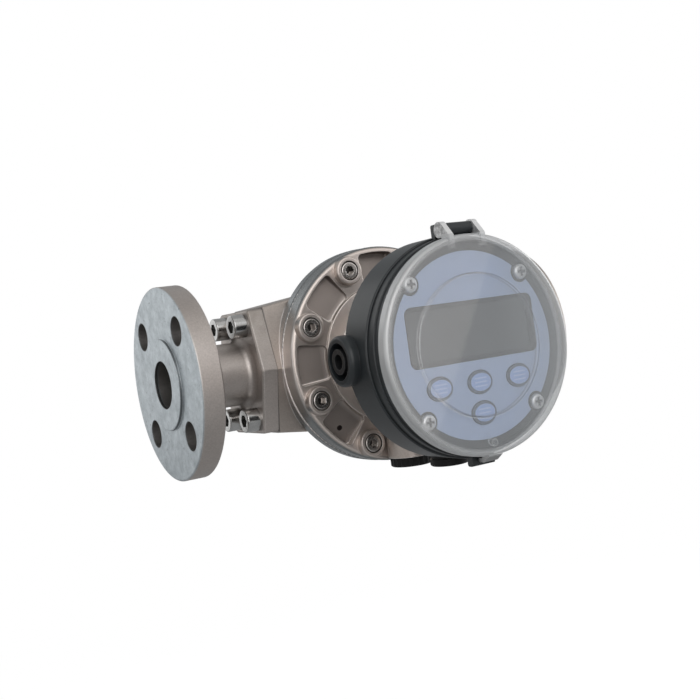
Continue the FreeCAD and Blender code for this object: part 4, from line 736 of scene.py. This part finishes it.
# Flip cover: a clear moulded dish that hangs from the hinge pin and snaps under the bezel.
# Handling has left it faintly hazy, and a painted reflection makes it hazier towards its right.
# Its thicker rim looks greyer than its front, and the lugs are frosted.
COVER_PALE = (0.86, 0.885, 0.90)
COVER_DULL = (0.82, 0.845, 0.86)
COVER_HAZE = (0.136, 0.156)
COVER_SMEAR = (0.02, 0.05)
COVER_RIM_FROM_R = (0.0520, 0.0552)
COVER_RIM_GREY = (0.40, 0.416, 0.424)
COVER_RIM_ROUGHER = 0.34
HANDLED_FROM_X = (PIPE_MIDDLE_X + 0.012, PIPE_MIDDLE_X + 0.052)
GLANCE_POWER = 5.0
cover_clear, tree, shader = finish("cover_clear", IOR=3.0, Specular_IOR_Level=0.8)
skin = group(tree, surface_grain, Cloud_Scale=30.0, Grain_Scale=1200.0)
out = from_axis(tree, *DISPLAY_AXIS)
along = coordinate(tree, "X")
height = coordinate(tree, "Z")
rim = step(tree, out, *COVER_RIM_FROM_R)
# Painted reflection: the cover grows hazier towards its right.
handled = step(tree, along, *HANDLED_FROM_X)
# Painted reflection: the cover grows more opaque where it is seen at a glancing angle.
slant = add(tree, "ShaderNodeLayerWeight", {"Blend": 0.5}).outputs["Facing"]
glance = maths(tree, "POWER", slant, GLANCE_POWER)

COVER_STEP_R = 0.0365
STEP_DISHED = (0.0, -0.0004)
STEP_SHADE = (0.05, 0.06, 0.08)
INSIDE_LINE_FROM = (-0.0012, -0.0006)
INSIDE_LINE_TO = (0.0001, -0.0001)
INSIDE_LINE_X = (PIPE_MIDDLE_X - 0.034, PIPE_MIDDLE_X - 0.024)
OUTSIDE_LINE_FROM = (-0.0001, 0.0001)
OUTSIDE_LINE_TO = (0.0006, 0.0004)
OUTSIDE_LINE_Z = (0.030, 0.012)
from_step = less(tree, out, COVER_STEP_R)
dished = step(tree, from_step, *STEP_DISHED)
inside_line = times(tree, step(tree, from_step, *INSIDE_LINE_FROM),
                    step(tree, from_step, *INSIDE_LINE_TO), step(tree, along, *INSIDE_LINE_X))
outside_line = times(tree, step(tree, from_step, *OUTSIDE_LINE_FROM),
                     step(tree, from_step, *OUTSIDE_LINE_TO), step(tree, height, *OUTSIDE_LINE_Z))

LUG_FROM_Z = (0.0562, 0.0572)
LUG_X = 0.0095
LUG_HALF = 0.0015
LUG_EDGE = (0.52, 0.525, 0.53)
LUG_CHEEK = (0.35, 0.75)
LUG_OUTWARD = (0.002, 0.005)
FROST_LIGHT = (0.46, 0.465, 0.47)
FROST_DARK = (0.20, 0.203, 0.207)
MOTTLE_BAND = (0.30, 0.60)
RIB_FROM_Z = (0.0482, 0.0492)
RIB_HALF = (LUG_HALF, LUG_HALF - 0.0004)
lug = step(tree, height, *LUG_FROM_Z)
cheek = step(tree, distance(tree, facing(tree, "X")), *LUG_CHEEK)
frost = tint(tree, skin["Specks"], FROST_LIGHT, FROST_DARK)
# Painted shade: the lugs' outer cheeks are clearer in mottled patches, so they show darker.
outward = times(tree, facing(tree, "X"), less(tree, along, PIPE_MIDDLE_X))
mottle = noise(tree, scale=480.0, detail=3.0, Roughness=0.6)
clearer = times(tree, lug, step(tree, outward, *LUG_OUTWARD), step(tree, mottle, *MOTTLE_BAND))
from_rib = distance(tree, less(tree, from_middle(tree), LUG_X))
rib = times(tree, step(tree, from_rib, *RIB_HALF), step(tree, height, *RIB_FROM_Z))

TAB_TO_Z = (-0.0560, -0.0566)
TAB_FROM_R = (0.0561, 0.0566)
TAB_DARK = (0.045, 0.047, 0.050)
POST = (PIPE_MIDDLE_X, -0.0495)
POST_R = 0.0019
POST_FROM_R = (POST_R - 0.0006, POST_R - 0.0003)
tab = times(tree, step(tree, height, *TAB_TO_Z), step(tree, out, *TAB_FROM_R))
from_post = from_axis(tree, *POST)
post = times(tree, step(tree, from_post, *POST_FROM_R),
             step(tree, from_post, POST_R + HOLE_FADE, POST_R))


def more(tree, value, extra, share):
    """A value with a share of another added, kept from 0 to 1."""
    return maths(tree, "MULTIPLY_ADD", extra, share, value, use_clamp=True)


colour = tint(tree, skin["Clouds"], COVER_PALE, COVER_DULL)
colour = tint(tree, rim, colour, COVER_RIM_GREY)
colour = tint(tree, lug, colour, tint(tree, cheek, LUG_EDGE, frost))
colour = tint(tree, tab, colour, TAB_DARK)
colour = tint(tree, inside_line, colour, STEP_SHADE)
tree.links.new(colour, shader.inputs["Base Color"])
smear = spread(tree, skin["Clouds"], *COVER_SMEAR)
tree.links.new(more(tree, smear, rim, COVER_RIM_ROUGHER), shader.inputs["Roughness"])
haze = spread(tree, skin["Clouds"], *COVER_HAZE)
for mask, share in ((dished, 0.014), (rim, 0.50), (handled, 0.085), (inside_line, 0.36),
                    (outside_line, 0.26), (rib, 0.10), (tab, 0.80), (post, 0.22), (lug, 0.60),
                    (clearer, -0.55), (glance, 0.8)):
    haze = more(tree, haze, mask, share)
tree.links.new(haze, shader.inputs["Alpha"])
wear(cover_clear, "flip_cover")
